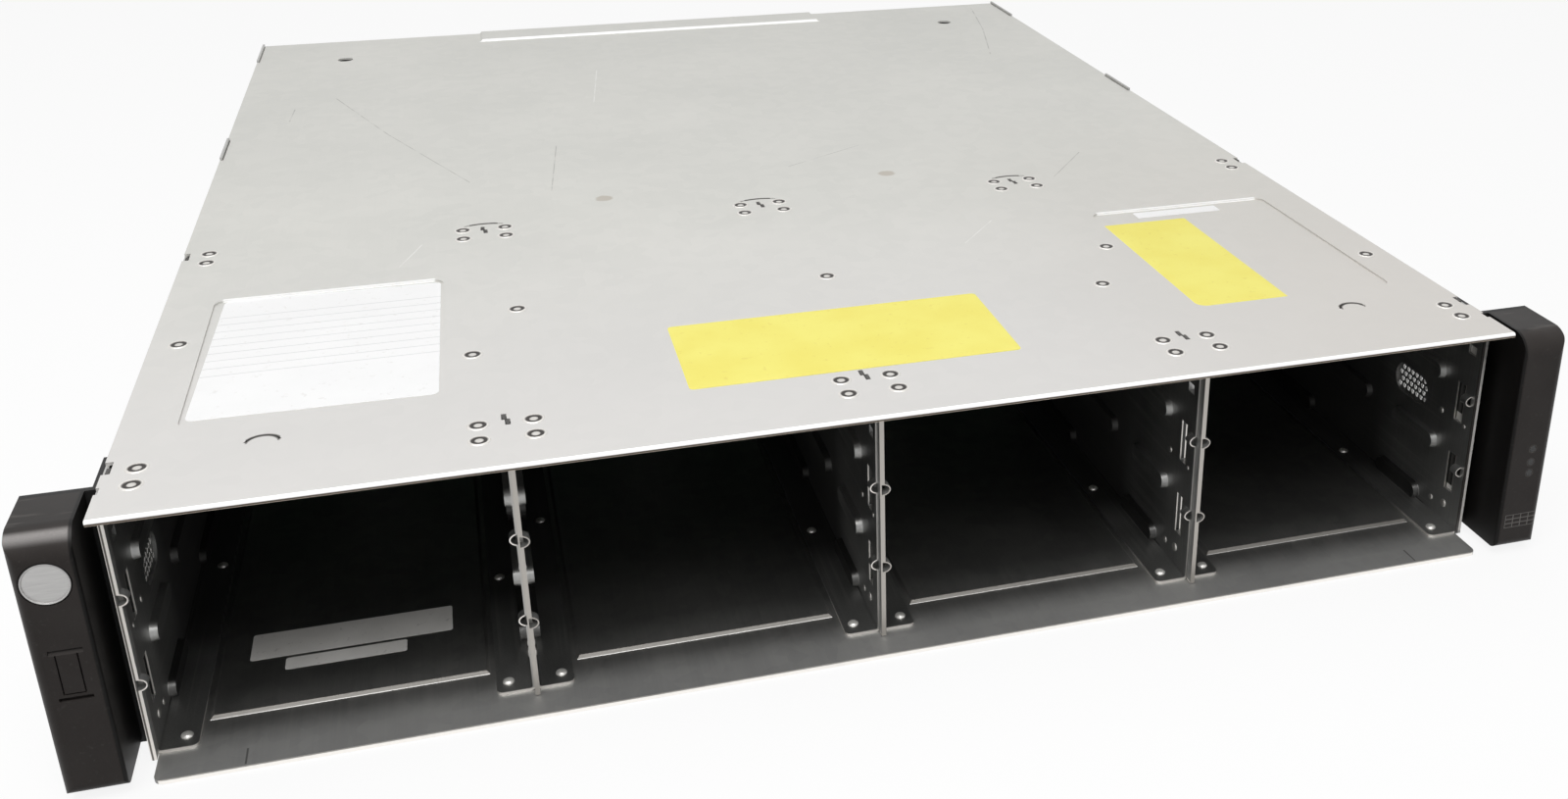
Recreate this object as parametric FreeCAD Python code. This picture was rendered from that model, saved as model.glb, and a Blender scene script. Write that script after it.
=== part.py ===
import FreeCAD, Part
import math
import os

# Storage array: a two-unit rack enclosure with twelve empty drive bays at the front,
# two stacked controller modules between two power-and-cooling modules at the rear.
# Millimetres. X runs to the viewer's right, Y to the rear, Z up.
# Y = 0 is the front edge of the side walls, Z = 0 the underside of the base.

# Rack grid and chassis
RACK_UNIT = 44.45
UNITS = 2
UNIT_CLEAR = 1.5
BAY_PITCH = 111.3
END_BAY = 109.2
REAR_Y = 545.8
LIP_Y = -15.0
LIP_STEP = 2.0
LIP_CORNER_R = 3.0
BASE_T = 1.2
COVER_T = 1.0
WALL_T = 1.0
BEND_R = 0.8
WALL_FLANGE = 10.0
WALL_TAB_Y = 318.0
WALL_TAB_L = 32.0
WALL_TAB_REAR_L = 40.0
WALL_TAB_RISE = 1.2
WALL_TAB_ROOT = 4.0

# Raised floor pans of the bays
PAN_RISE = 1.0
PAN_FRONT_Y = 11.0
PAN_REAR_GAP = 19.0
PAN_MARGIN = 1.7

# Cover details
COVER_HEM_L = 6.0
COVER_NOSE_R = 0.95
RECESS_EDGE = 16.4
RECESS_GAP = 4.6
RECESS_Y = 37.0
RECESS_L = 103.0
RECESS_DEPTH = 0.7
RECESS_R = 4.0
CREST_MARGIN = 2.0
CREST_L = 22.0
CREST_RISE = 1.2
HALF_MOON_EDGE = 41.5
HALF_MOON_Y = 20.0
HALF_MOON_R = 5.0
SLIT_W = 0.8
SLIT_R = 18.0
SLIT_REACH = 7.5
SLIT_GAP = 7.5
LATCH_HOLE_EDGE = 46.5
LATCH_HOLE_REAR = 45.8
LATCH_HOLE_R = 4.0
EDGE_NOTCH_L = 4.0
EDGE_NOTCH_W = 1.0

# Drive bays and stamped guide plates
ROWS = 3
ROW_EXTRA = 0.3
GUIDE_T = 1.0
GUIDE_FRONT_Y = -4.8
GUIDE_REAR_Y = 195.0
HEM_T = 0.5
HEM_L = 3.0
FOOT_FRONT_Y = -1.5
FOOT_W = 11.8
FOOT_CORNER_R = 2.0
NOSE_MARGIN = 0.3
ARCH_REACH = 3.0
ARCH_H = 4.3
ARCH_T = 0.4
ARCH_L = 3.4
ARCH_DROP = 0.8
ARCH_TRAIL_DROP = 1.6
ARCH_WALL_DROP = 2.9
ARCH_SETBACK = 2.4
RAIL_LOW_Z = 5.0
RAIL_LIFT = 1.5
RAIL_H = 6.8
RAIL_PROUD = 2.2
RAIL_DRAFT = 0.5
RAIL_FRONT_Y = (23.5, 16.8, 16.8)
RAIL_FRONT_L = 28.0
RAIL_REAR_Y = (103.0, 62.0, 62.0)
RAIL_END_GAP = 23.0
WINDOW_Y = 4.6
WINDOW_L = 4.4
WINDOW_TOP = (2.0, 1.7)
WINDOW_H = (15.2, 15.2)
PEEP_Y = 1.6
PEEP_L = 4.4
PEEP_DROP = 15.0
PEEP_H = 3.4
OVAL_Y = 26.5
OVAL_L = 21.5
OVAL_RISE = 2.4
OVAL_H = 11.6
TAB_FRONT_Y = 15.6
TAB_REAR_GAP = 5.0
TAB_L = 3.5
TAB_ROOT = 4.0
TAB_CLEAR = 0.3

# Hexagonal wall vents behind the oval openings
HEX_FLAT = 1.8
HEX_PITCH = 2.8
HEX_ROWS = 4
HEX_COLS = 7

# Midplane
GUIDE_END_GAP = 7.6
BRACKET_T = 1.2
BRACKET_FLANGE = 20.0
BRACKET_END_GAP = 2.0
BOARD_T = 2.4
BOARD_END_GAP = 1.5
BOARD_FLOOR_GAP = 3.8
BOARD_TOP_GAP = 3.4
VENT_MARGIN = 11.6
VENT_RIB = 10.0
VENT_FLOOR_GAP = 6.8
VENT_TOP_GAP = 12.4
VENT_R = 4.0
SLOT_MARGIN = 13.0
SLOT_H = 8.0
SLOT_RISE = 2.0
TOP_SLOT_H = 4.0
TOP_SLOT_EDGE = 2.0
PLUG_W = 42.0
PLUG_H = 6.5
PLUG_L = 9.0
PLUG_RISE = 15.0
PLUG_SLOT_W = 34.0
PLUG_SLOT_H = 2.4
PLUG_SLOT_L = 6.0
LINK_W = 26.0
LINK_H = 13.0
LINK_L = 11.0
LINK_GAP = 0.5
LINK_SEAT = 12.0
SCREW_R = 1.4
SCREW_HEAD_R = 3.0
SCREW_HEAD_L = 2.0
SCREW_FIT = 0.05
SCREW_GAP = 0.3
SCREW_EDGE = 3.6
SCREW_LOW = 7.0
SCREW_HIGH = 6.0

# Rear bays
BAY_WALL_T = 1.2
BAY_WALL_FLANGE = 8.0
REAR_BAY_GAP = 2.0
MODULE_GAP = 3.0
SHELF_T = 1.2
SHELF_DROP = 6.0

# Rack ears
EAR_REACH = 19.8
EAR_Y = 5.5
EAR_T = 2.0
EAR_LEG_T = 1.5
EAR_LEG_L = 20.0
EAR_FOOT = 1.5
EAR_DROP = 1.1
RACK_HOLE_R = 3.5
RACK_HOLE_EDGE = 8.75
RACK_HOLE_PAIR = 12.7

# Ear caps
CAP_FRONT_Y = -17.9
CAP_WALL_GAP = 3.3
CAP_FOOT = 3.0
CAP_T = 1.6
CAP_TOP_R = 8.0
CAP_FOOT_R = 3.4
CAP_SIDE_R = 3.0
CAP_IN_R = 1.4
BADGE_DROP = 14.5
BADGE_R = 6.3
BADGE_T = 0.8
BADGE_GAP = 0.3
GRIP_IN_MARGIN = 3.1
GRIP_OUT_MARGIN = 4.7
GRIP_RISE = 31.6
GRIP_H = 16.6
GRIP_DEPTH = 1.0
GRIP_LEDGE_H = 1.6
GRIP_FOOT_H = 1.3
GRIP_FOOT_GAP = 0.8
BUTTON_INSET = 1.4
BUTTON_SLIT = 0.4
PIPE_EDGE = 7.3
PIPE_RISE = (30.0, 34.3, 39.5)
PIPE_R = 1.2
PIPE_FIT = 0.05
PIPE_BAR_T = 2.0
PIPE_BAR_W = 5.6
PIPE_BAR_END = 1.0
STATUS_T = 1.6
STATUS_GAP = 1.1
STATUS_MARGIN = 7.0
LED_L = 1.6
LED_W = 2.4
LED_GAP = 0.3

# Controller modules
CTRL_T = 1.0
CTRL_GAP = 0.4
CTRL_TOP_GAP = 0.8
CTRL_SIDE_GAP = 1.3
CTRL_LIFT = 5.0
CTRL_BOARD_T = 1.6
CTRL_BOARD_GAP = 2.0
PILLAR_R = 3.0
PILLAR_INSET = 14.0
PILLAR_FRONT = 20.0
PILLAR_REAR = 70.0
PORT_GAP = 0.3
PORT_PROUD = 0.8
PORT_MARGIN = 14.5
PORT_STEP = 5.0
PANEL_VENT_W = 9.0
PANEL_VENT_H = 3.2
PANEL_VENT_STEP = 12.0
PANEL_VENT_COLS = 12
PANEL_VENT_DROP = (4.0, 10.0)
PORTS = ((15.0, 10.0, 46.0), (15.0, 10.0, 46.0), (16.4, 13.6, 22.0), (9.0, 8.0, 16.0), (24.0, 10.0, 24.0))
SINK_SIZE = 44.0
SINK_BACK = 90.0
SINK_GAP = 24.0
SINK_BASE = 3.0
SINK_FIN_H = 16.0
SINK_FIN_T = 1.6
SINK_FINS = 8
CARD_SEAT_W = 6.0
CARD_SEAT_H = 4.0
CARD_SEAT_L = 130.0
CARD_BACK = 60.0
CARD_GAP = 18.0
CARD_T = 2.0
CARD_H = 28.0
CARD_INSET = 2.0
PACK_W = 36.0
PACK_L = 110.0
PACK_H = 20.0
PACK_BACK = 70.0
PACK_EDGE = 13.5

# Ejector levers and their captive thumbscrews
LEVER_INSET = 9.5
LEVER_W = 11.0
LEVER_T = 3.0
LEVER_RISE = 29.0
LEVER_TIP = 5.0
PIVOT_Y = 5.0
PIVOT_Z = 8.0
BARREL_R = 3.4
TRUNNION_R = 1.5
TRUNNION_FIT = 0.05
CLEVIS_T = 1.2
CLEVIS_GAP = 0.3
KNOB_R = 4.2
KNOB_L = 6.0
KNOB_Z = 16.5
STEM_R = 1.6
STEM_FIT = 0.08
STEM_SEAT = 0.6

# Power-and-cooling modules
PSU_T = 1.2
PSU_WALL_GAP = 1.3
PSU_BAY_GAP = 1.0
PSU_FLOOR_GAP = 0.3
PSU_TOP_GAP = 0.5
PSU_BOARD_LIFT = 5.0
PSU_BOARD_T = 1.6
PSU_BOARD_GAP = 2.0
PSU_PILLAR_INSET = 16.0
PSU_PILLAR_REAR = 90.0
FAN_FIT = 1.8
FAN_DEPTH = 25.0
FAN_RIM = 1.5
FAN_WALL_GAP = 1.4
FAN_COLUMN_GAP = 11.2
FAN_BOARD_GAP = 10.0
FAN_CORNER_R = 4.0
TIP_GAP = 0.9
HUB_R = 16.0
HUB_L = 17.0
HUB_ROUND = 2.0
BLADES = 7
BLADE_T = 1.4
BLADE_PITCH = 38.0
BLADE_TWIST = 14.0
BLADE_SWEEP = 16.0
BLADE_MARGIN = 1.5
STRUTS = 4
STRUT_W = 4.0
STRUT_T = 4.0
SHAFT_R = 2.0
SHAFT_FIT = 0.05
ROTOR_GAP = 0.6
GRILLE_T = 1.2
GRILLE_RINGS = 4
GRILLE_PITCH = 8.6
GRILLE_EDGE = 0.7
GRILLE_RING_W = 1.8
GRILLE_BAR_W = 2.4
GRILLE_EAR_R = 3.2
ENTRY_RIM = 1.5
ENTRY_RIM_T = 1.6
ENTRY_RIM_R = 2.0
INLET_W = 20.0
INLET_H = 27.0
INLET_L = 18.0
INLET_Z = 22.0
INLET_WALL = 1.8
INLET_CHAMFER = 4.5
PIN_W = 4.0
PIN_H = 2.0
PIN_L = 12.0
PIN_PITCH = 7.0
PIN_SHIFT = 2.0
SWITCH_W = 13.0
SWITCH_H = 19.0
SWITCH_L = 12.0
SWITCH_Z = 52.0
SWITCH_WALL = 1.2
ROCKER_GAP = 0.35
ROCKER_END_GAP = 1.0
ROCKER_TILT = 8.0
ROCKER_PROUD = 2.2
ROCKER_SINK = 3.0
ROCKER_SKIRT = 1.0
COLUMN_GAP = 3.0
PANEL_GAP = 0.3
HANDLE_W = 9.0
HANDLE_T = 3.0
HANDLE_RISE = 48.0
HANDLE_TIP = 7.0
HANDLE_Z = 18.0
HANDLE_GAP = 0.6
RADIATOR_EDGE = 8.0
RADIATOR_T = 4.0
RADIATOR_H = 52.0
RADIATOR_END = 40.0
COIL_EDGE = 34.0
COIL_W = 40.0
COIL_L = 44.0
COIL_H = 36.0
COIL_BACK = 60.0
CANS = 3
CAN_R = 15.0
CAN_H = 45.0
CAN_EDGE = 54.0
CAN_BACK = 140.0
CAN_PITCH = 34.0

# Widths and heights that follow
V = FreeCAD.Vector
CHASSIS_TOP = UNITS * RACK_UNIT - UNIT_CLEAR
WALL_IN_X = BAY_PITCH + END_BAY
HALF_W = WALL_IN_X + WALL_T
LIP_HALF = HALF_W - LIP_STEP
FLOOR_Z = BASE_T
CEILING_Z = CHASSIS_TOP - COVER_T
CROSS_X = (-BAY_PITCH, 0.0, BAY_PITCH)
BAY_EDGES = (-WALL_IN_X,) + CROSS_X + (WALL_IN_X,)
ROW_PITCH = (CEILING_Z - FLOOR_Z + ROW_EXTRA) / ROWS
ROW_LINES = tuple(k * ROW_PITCH for k in range(1, ROWS))
TAB_Y = (TAB_FRONT_Y, GUIDE_REAR_Y - TAB_REAR_GAP)
OVAL_Z = 1.5 * ROW_PITCH + OVAL_RISE

MIDPLANE_Y = GUIDE_REAR_Y + GUIDE_END_GAP + BOARD_T
BOARD_HALF = WALL_IN_X - BRACKET_END_GAP - BOARD_END_GAP
BOARD_Z0 = FLOOR_Z + BOARD_FLOOR_GAP
BOARD_Z1 = CEILING_Z - BOARD_TOP_GAP
SCREW_Z = (BOARD_Z0 + SCREW_LOW, BOARD_Z1 - SCREW_HIGH)
REAR_BAY_Y = MIDPLANE_Y + BRACKET_FLANGE + REAR_BAY_GAP
MODULE_FRONT_Y = REAR_BAY_Y + MODULE_GAP

RACK_HALF = HALF_W + EAR_REACH
RACK_HOLE_X = RACK_HALF - RACK_HOLE_EDGE
RACK_HOLE_DZ = UNITS * RACK_UNIT - RACK_HOLE_PAIR
EAR_Z0 = EAR_FOOT
EAR_Z1 = CHASSIS_TOP - EAR_DROP
CAP_IN_X = HALF_W + CAP_WALL_GAP
CAP_Z0 = CAP_FOOT
CAP_Z1 = EAR_Z1
BADGE_X = (CAP_IN_X + RACK_HALF) / 2
BADGE_Z = CAP_Z1 - BADGE_DROP
PIPE_X = RACK_HALF - PIPE_EDGE
PIPE_Z = tuple(CAP_Z0 + rise for rise in PIPE_RISE)

PSU_Z0 = FLOOR_Z + BAY_WALL_T + PSU_FLOOR_GAP
PSU_Z1 = CEILING_Z - BAY_WALL_T - PSU_TOP_GAP
FAN_SIZE = PSU_Z1 - PSU_Z0 - 2 * PSU_T - 2 * FAN_FIT
FAN_BORE_R = FAN_SIZE / 2 - FAN_RIM
ROTOR_R = FAN_BORE_R - TIP_GAP
PSU_W = 2 * PSU_T + COLUMN_GAP + INLET_W + FAN_COLUMN_GAP + FAN_SIZE + FAN_WALL_GAP
PSU_OUT_X = WALL_IN_X - PSU_WALL_GAP
PSU_IN_X = PSU_OUT_X - PSU_W
BAY_WALL_X = PSU_IN_X - PSU_BAY_GAP - BAY_WALL_T

SHELF_Z = (FLOOR_Z + CEILING_Z - SHELF_T) / 2
CTRL_H = SHELF_Z - FLOOR_Z - CTRL_GAP - CTRL_TOP_GAP
CTRL_HALF = BAY_WALL_X - SHELF_T - CTRL_SIDE_GAP
LEVER_X = CTRL_HALF - LEVER_INSET


def box(x0, x1, y0, y1, z0, z1):
    """Block between two opposite corners."""
    corner = V(min(x0, x1), min(y0, y1), min(z0, z1))
    return Part.makeBox(abs(x1 - x0), abs(y1 - y0), abs(z1 - z0), corner)


def rod(radius, start, end):
    """Round bar between two points."""
    along = V(*end) - V(*start)
    return Part.makeCylinder(radius, along.Length, V(*start), along)


def outline(corners, place):
    """Closed wire through corners (u, v, radius); place maps (u, v) to space."""
    joints = []
    for i, (u, v, radius) in enumerate(corners):
        here = V(u, v, 0)
        back = V(*corners[i - 1][:2], 0) - here
        ahead = V(*corners[(i + 1) % len(corners)][:2], 0) - here
        back.normalize()
        ahead.normalize()
        if radius <= 0:
            joints.append((here, None, here))
            continue
        half = back.getAngle(ahead) / 2
        middle = (back + ahead).normalize()
        reach = radius / math.tan(half)
        crown = here + middle * (radius / math.sin(half) - radius)
        joints.append((here + back * reach, crown, here + ahead * reach))
    edges = []
    for i, (start, crown, end) in enumerate(joints):
        if crown is not None:
            marks = [place(p.x, p.y) for p in (start, crown, end)]
            edges.append(Part.Arc(*marks).toShape())
        following = joints[(i + 1) % len(joints)][0]
        if (following - end).Length > 1e-6:
            line = Part.LineSegment(place(end.x, end.y), place(following.x, following.y))
            edges.append(line.toShape())
    return Part.Wire(edges)


def on_x(x):
    """Places (y, z) on the plane at x."""
    return lambda u, v: V(x, u, v)


def on_y(y):
    """Places (x, z) on the plane at y."""
    return lambda u, v: V(u, y, v)


def on_z(z):
    """Places (x, y) on the plane at z."""
    return lambda u, v: V(u, v, z)


def prism(corners, place, along):
    """Solid swept straight from a closed outline."""
    return Part.Face(outline(corners, place)).extrude(V(*along))


def rectangle(u0, u1, v0, v1, radius=0.0):
    """Corners of a rectangle with equal corner rounds."""
    return [(u0, v0, radius), (u1, v0, radius), (u1, v1, radius), (u0, v1, radius)]


def folded(path, thickness, bend):
    """Outline of a folded strip: path is one face, the strip lies to its left."""
    points = [V(u, v, 0) for u, v in path]
    ways = [(b - a).normalize() for a, b in zip(points, points[1:])]
    lefts = [V(-w.y, w.x, 0) for w in ways]
    near = [(points[0].x, points[0].y, 0.0)]
    first = points[0] + lefts[0] * thickness
    far = [(first.x, first.y, 0.0)]
    for i in range(1, len(points) - 1):
        turns_left = ways[i - 1].cross(ways[i]).z > 0
        outer = bend + thickness
        near.append((points[i].x, points[i].y, outer if turns_left else bend))
        inside = points[i] + (lefts[i - 1] + lefts[i]) * thickness
        far.append((inside.x, inside.y, bend if turns_left else outer))
    last = points[-1] + lefts[-1] * thickness
    near.append((points[-1].x, points[-1].y, 0.0))
    far.append((last.x, last.y, 0.0))
    return near + far[::-1]


def stadium(y0, length, z, height, x):
    """Wire of a slot with round ends, in the plane at x."""
    low = z - height / 2
    return outline(rectangle(y0, y0 + length, low, low + height, height / 2 - 1e-4), on_x(x))


def pressed(low, high, rise, draft, z):
    """Raised pan with sloping sides on the plane at z, from corner low to corner high."""
    foot = outline(rectangle(low[0], high[0], low[1], high[1]), on_z(z))
    top = rectangle(low[0] + draft, high[0] - draft, low[1] + draft, high[1] - draft)
    return Part.makeLoft([foot, outline(top, on_z(z + rise))], True, True)


def crescent(x, y, z, radius, width, half_angle, facing, depth):
    """Thin curved slit, cut downward from z."""
    arcs = []
    for r in (radius - width / 2, radius + width / 2):
        marks = [facing - half_angle, facing, facing + half_angle]
        arcs.append([V(x + r * math.cos(a), y + r * math.sin(a), z) for a in marks])
    inner, outer = arcs
    edges = [Part.Arc(*inner).toShape(), Part.LineSegment(inner[2], outer[2]).toShape(),
             Part.Arc(*outer[::-1]).toShape(), Part.LineSegment(outer[0], inner[0]).toShape()]
    return Part.Face(Part.Wire(edges)).extrude(V(0, 0, -depth))


def fused(pieces):
    """One solid from overlapping or touching pieces."""
    return pieces[0].multiFuse(pieces[1:]).removeSplitter()


def bored(solid, tools):
    """Solid with every tool cut away."""
    return solid.cut(Part.makeCompound(tools))


def mirrored(shape):
    """The same piece for the other side of the chassis."""
    return shape.mirror(V(0, 0, 0), V(1, 0, 0))


def save(shape, node):
    """Writes one node's file."""
    shape.exportStep("parts/" + node + ".step")


def base_tray():
    """Floor sheet, narrower ahead of the walls, with a raised pan in each bay."""
    lip = [(-LIP_HALF, 0, 0), (-LIP_HALF, LIP_Y, LIP_CORNER_R),
           (LIP_HALF, LIP_Y, LIP_CORNER_R), (LIP_HALF, 0, 0)]
    plan = lip + [(HALF_W, 0, 0), (HALF_W, REAR_Y, 0), (-HALF_W, REAR_Y, 0), (-HALF_W, 0, 0)]
    sheet = prism(plan, on_z(0), (0, 0, BASE_T))
    margin = FOOT_W + PAN_MARGIN
    pans = []
    dies = []
    for left, right in zip(BAY_EDGES, BAY_EDGES[1:]):
        low = (left + margin, PAN_FRONT_Y)
        high = (right - margin, GUIDE_REAR_Y - PAN_REAR_GAP)
        pans.append(pressed(low, high, PAN_RISE, PAN_RISE, BASE_T))
        dies.append(pressed(low, high, PAN_RISE, PAN_RISE, 0))
    return bored(fused([sheet] + pans), dies)


def side_wall():
    """Right-hand wall: plain beside the bays, flanged behind them, with tabs that stand through the cover."""
    front = box(WALL_IN_X, HALF_W, FOOT_FRONT_Y, REAR_BAY_Y, FLOOR_Z, CEILING_Z)
    end = HALF_W - WALL_FLANGE
    path = [(end, FLOOR_Z), (HALF_W, FLOOR_Z), (HALF_W, CEILING_Z), (end, CEILING_Z)]
    rear = prism(folded(path, WALL_T, BEND_R), on_y(REAR_BAY_Y), (0, REAR_Y - REAR_BAY_Y, 0))
    pieces = [front, rear]
    for start, finish in wall_tabs():
        root = CEILING_Z - WALL_TAB_ROOT
        pieces.append(box(WALL_IN_X, HALF_W, start, finish, root, CHASSIS_TOP + WALL_TAB_RISE))
    holes = []
    middle = OVAL_Y + OVAL_L / 2
    for row in range(HEX_ROWS):
        z = OVAL_Z + (row - (HEX_ROWS - 1) / 2) * HEX_PITCH * math.sin(math.pi / 3)
        shift = (row % 2) * HEX_PITCH / 2
        for col in range(HEX_COLS - row % 2):
            y = middle + (col - (HEX_COLS - 1) / 2) * HEX_PITCH + shift
            holes.append(hex_hole(y, z))
    return bored(fused(pieces), holes)


def wall_tabs():
    """Stretches along y where a side wall stands up through the cover."""
    return ((WALL_TAB_Y, WALL_TAB_Y + WALL_TAB_L), (REAR_Y - WALL_TAB_REAR_L, REAR_Y))


def hex_hole(y, z):
    """Six-sided punch through the right-hand wall."""
    corner = HEX_FLAT / math.sqrt(3)
    points = []
    for k in range(6):
        angle = math.pi / 2 + k * math.pi / 3
        points.append((y + corner * math.cos(angle), z + corner * math.sin(angle), 0))
    return prism(points, on_x(WALL_IN_X - WALL_T), (3 * WALL_T, 0, 0))


def top_cover():
    """Cover sheet with a closed front hem, two label recesses, tab slots and a raised rear crest."""
    hem_z = CEILING_Z - COVER_T
    hem_y = LIP_Y + COVER_HEM_L
    section = [(REAR_Y, CHASSIS_TOP, 0), (LIP_Y, CHASSIS_TOP, COVER_NOSE_R), (LIP_Y, hem_z, COVER_NOSE_R),
               (hem_y, hem_z, 0), (hem_y, CEILING_Z, 0), (REAR_Y, CEILING_Z, 0)]
    sheet = prism(section, on_x(-HALF_W), (2 * HALF_W, 0, 0))
    added = []
    cuts = []
    for side in (-1, 1):
        edge = side * HALF_W
        near = side * (BAY_PITCH + FOOT_W + RECESS_GAP)
        far = side * (HALF_W - RECESS_EDGE)
        pocket = rectangle(min(near, far), max(near, far), RECESS_Y, RECESS_Y + RECESS_L, RECESS_R)
        added.append(prism(pocket, on_z(CEILING_Z - RECESS_DEPTH), (0, 0, RECESS_DEPTH)))
        cuts.append(prism(pocket, on_z(CHASSIS_TOP - RECESS_DEPTH), (0, 0, RECESS_DEPTH)))
        moon = (edge - side * HALF_MOON_EDGE, HALF_MOON_Y, CHASSIS_TOP)
        cuts.append(crescent(*moon, HALF_MOON_R, SLIT_W, math.pi / 2.4, math.pi / 2, COVER_T))
        hole = (edge - side * LATCH_HOLE_EDGE, REAR_Y - LATCH_HOLE_REAR)
        cuts.append(rod(LATCH_HOLE_R, (*hole, CEILING_Z - COVER_T), (*hole, CHASSIS_TOP + COVER_T)))
        cuts.append(cover_slot(edge - side * EDGE_NOTCH_W, edge, 0, EDGE_NOTCH_L))
        for start, finish in wall_tabs():
            reach = side * (WALL_T + TAB_CLEAR)
            cuts.append(cover_slot(edge - reach, edge, start - TAB_CLEAR, finish + TAB_CLEAR))
        for y in TAB_Y:
            reach = side * (WALL_T + GUIDE_T + TAB_CLEAR)
            cuts.append(cover_slot(edge - reach, edge, y - TAB_L - TAB_CLEAR, y + TAB_L + TAB_CLEAR))
    for x in CROSS_X:
        half = GUIDE_T + TAB_CLEAR
        for y in TAB_Y:
            cuts.append(cover_slot(x - TAB_CLEAR, x + half, y - TAB_L - TAB_CLEAR, y + TAB_CLEAR))
            cuts.append(cover_slot(x - half, x + TAB_CLEAR, y - TAB_CLEAR, y + TAB_L + TAB_CLEAR))
        angle = math.asin(SLIT_REACH / SLIT_R)
        middle = TAB_Y[-1] + SLIT_GAP - SLIT_R
        cuts.append(crescent(x, middle, CHASSIS_TOP, SLIT_R, SLIT_W, angle, math.pi / 2, COVER_T))
    crest = BAY_WALL_X - CREST_MARGIN
    low = (-crest, REAR_Y - CREST_L)
    high = (crest, REAR_Y + CREST_RISE)
    added.append(pressed(low, high, CREST_RISE, CREST_RISE, CHASSIS_TOP))
    cuts.append(pressed(low, high, CREST_RISE, CREST_RISE, CEILING_Z))
    behind = (REAR_Y, REAR_Y + 2 * CREST_RISE)
    cuts.append(box(-HALF_W, HALF_W, *behind, CEILING_Z - COVER_T, CHASSIS_TOP + 2 * CREST_RISE))
    return bored(fused([sheet] + added), cuts)


def cover_slot(x0, x1, y0, y1):
    """Rectangular punch through the cover sheet."""
    return box(x0, x1, y0, y1, CEILING_Z, CHASSIS_TOP)


def guide_plate(leading, vented):
    """Stamped guide plate, back face on x = 0, flanges and rails toward +x.

    A leading plate has a hemmed nose, and a vented one an oval opening before the vents of the wall.
    """
    path = [(FOOT_W, CEILING_Z), (0, CEILING_Z), (0, FLOOR_Z), (FOOT_W, FLOOR_Z)]
    length = GUIDE_REAR_Y - FOOT_FRONT_Y
    channel = prism(folded(path, GUIDE_T, BEND_R), on_y(FOOT_FRONT_Y), (0, length, 0))
    corners = []
    for edge in channel.Edges:
        upright = abs(edge.BoundBox.ZLength - GUIDE_T) < 1e-3 and edge.BoundBox.YLength < 1e-3
        if upright and abs(edge.BoundBox.XMin - FOOT_W) < 1e-3:
            corners.append(edge)
    added = [channel.makeFillet(FOOT_CORNER_R, corners)]
    if leading:
        nose = (FLOOR_Z + NOSE_MARGIN, CEILING_Z - NOSE_MARGIN)
        added.append(box(0, GUIDE_T, GUIDE_FRONT_Y, FOOT_FRONT_Y, *nose))
        added.append(box(-HEM_T, 0, GUIDE_FRONT_Y, GUIDE_FRONT_Y + HEM_L, *nose))
    for y in TAB_Y:
        end = y - TAB_L if leading else y + TAB_L
        added.append(box(0, GUIDE_T, y, end, CEILING_Z - TAB_ROOT, CHASSIS_TOP))
    through = (-GUIDE_T, 2 * GUIDE_T)
    formed = []
    cuts = []
    if leading:
        arch_y, drop = GUIDE_FRONT_Y, ARCH_DROP
    elif vented:
        arch_y, drop = FOOT_FRONT_Y + ARCH_SETBACK, ARCH_WALL_DROP
    else:
        arch_y, drop = FOOT_FRONT_Y, ARCH_TRAIL_DROP
    for line in ROW_LINES:
        z = line - drop
        gap = ARCH_H / 2 - ARCH_T
        cuts.append(box(0, GUIDE_T, arch_y, arch_y + ARCH_L, z - gap, z + gap))
        formed.append(half_ring(arch_y, z))
    rear = WINDOW_Y + WINDOW_L
    for line, offset, height in zip(ROW_LINES, WINDOW_TOP, WINDOW_H):
        top = line + offset
        cuts.append(box(*through, WINDOW_Y, rear, top - height, top))
    peep = CEILING_Z - PEEP_DROP
    cuts.append(box(*through, PEEP_Y, PEEP_Y + PEEP_L, peep, peep + PEEP_H))
    if vented:
        oval = Part.Face(stadium(OVAL_Y, OVAL_L, OVAL_Z, OVAL_H, -GUIDE_T))
        cuts.append(oval.extrude(V(3 * GUIDE_T, 0, 0)))
    heights = [RAIL_LOW_Z] + [line + RAIL_LIFT for line in ROW_LINES]
    for z, front, rear in zip(heights, RAIL_FRONT_Y, RAIL_REAR_Y):
        formed.append(rail(front, RAIL_FRONT_L, z))
        formed.append(rail(rear, GUIDE_REAR_Y - RAIL_END_GAP - rear, z))
    return fused([bored(fused(added), cuts)] + formed)


def half_ring(y, z):
    """Lanced arch at the front edge: half of a short oval tube about the y axis."""
    centre = V(0, y, z)
    edges = []
    ends = []
    for inset in (0, ARCH_T):
        reach = ARCH_REACH - inset
        half = ARCH_H / 2 - inset
        oval = Part.Ellipse(centre + V(reach, 0, 0), centre + V(0, 0, half), centre)
        edges.append(Part.ArcOfEllipse(oval, -math.pi / 2, math.pi / 2).toShape())
        ends.append((centre - V(0, 0, half), centre + V(0, 0, half)))
    big, small = ends
    edges.insert(1, Part.LineSegment(big[1], small[1]).toShape())
    edges.append(Part.LineSegment(small[0], big[0]).toShape())
    return Part.Face(Part.Wire(Part.__sortEdges__(edges))).extrude(V(0, ARCH_L, 0))


def rail(y, length, z):
    """Pill-shaped rail pressed out of the plate, with sloping flanks."""
    foot = stadium(y, length, z, RAIL_H, GUIDE_T / 2)
    short = 2 * RAIL_DRAFT
    crown = stadium(y + RAIL_DRAFT, length - short, z, RAIL_H - short, GUIDE_T + RAIL_PROUD)
    return Part.makeLoft([foot, crown], True, True)


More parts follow.
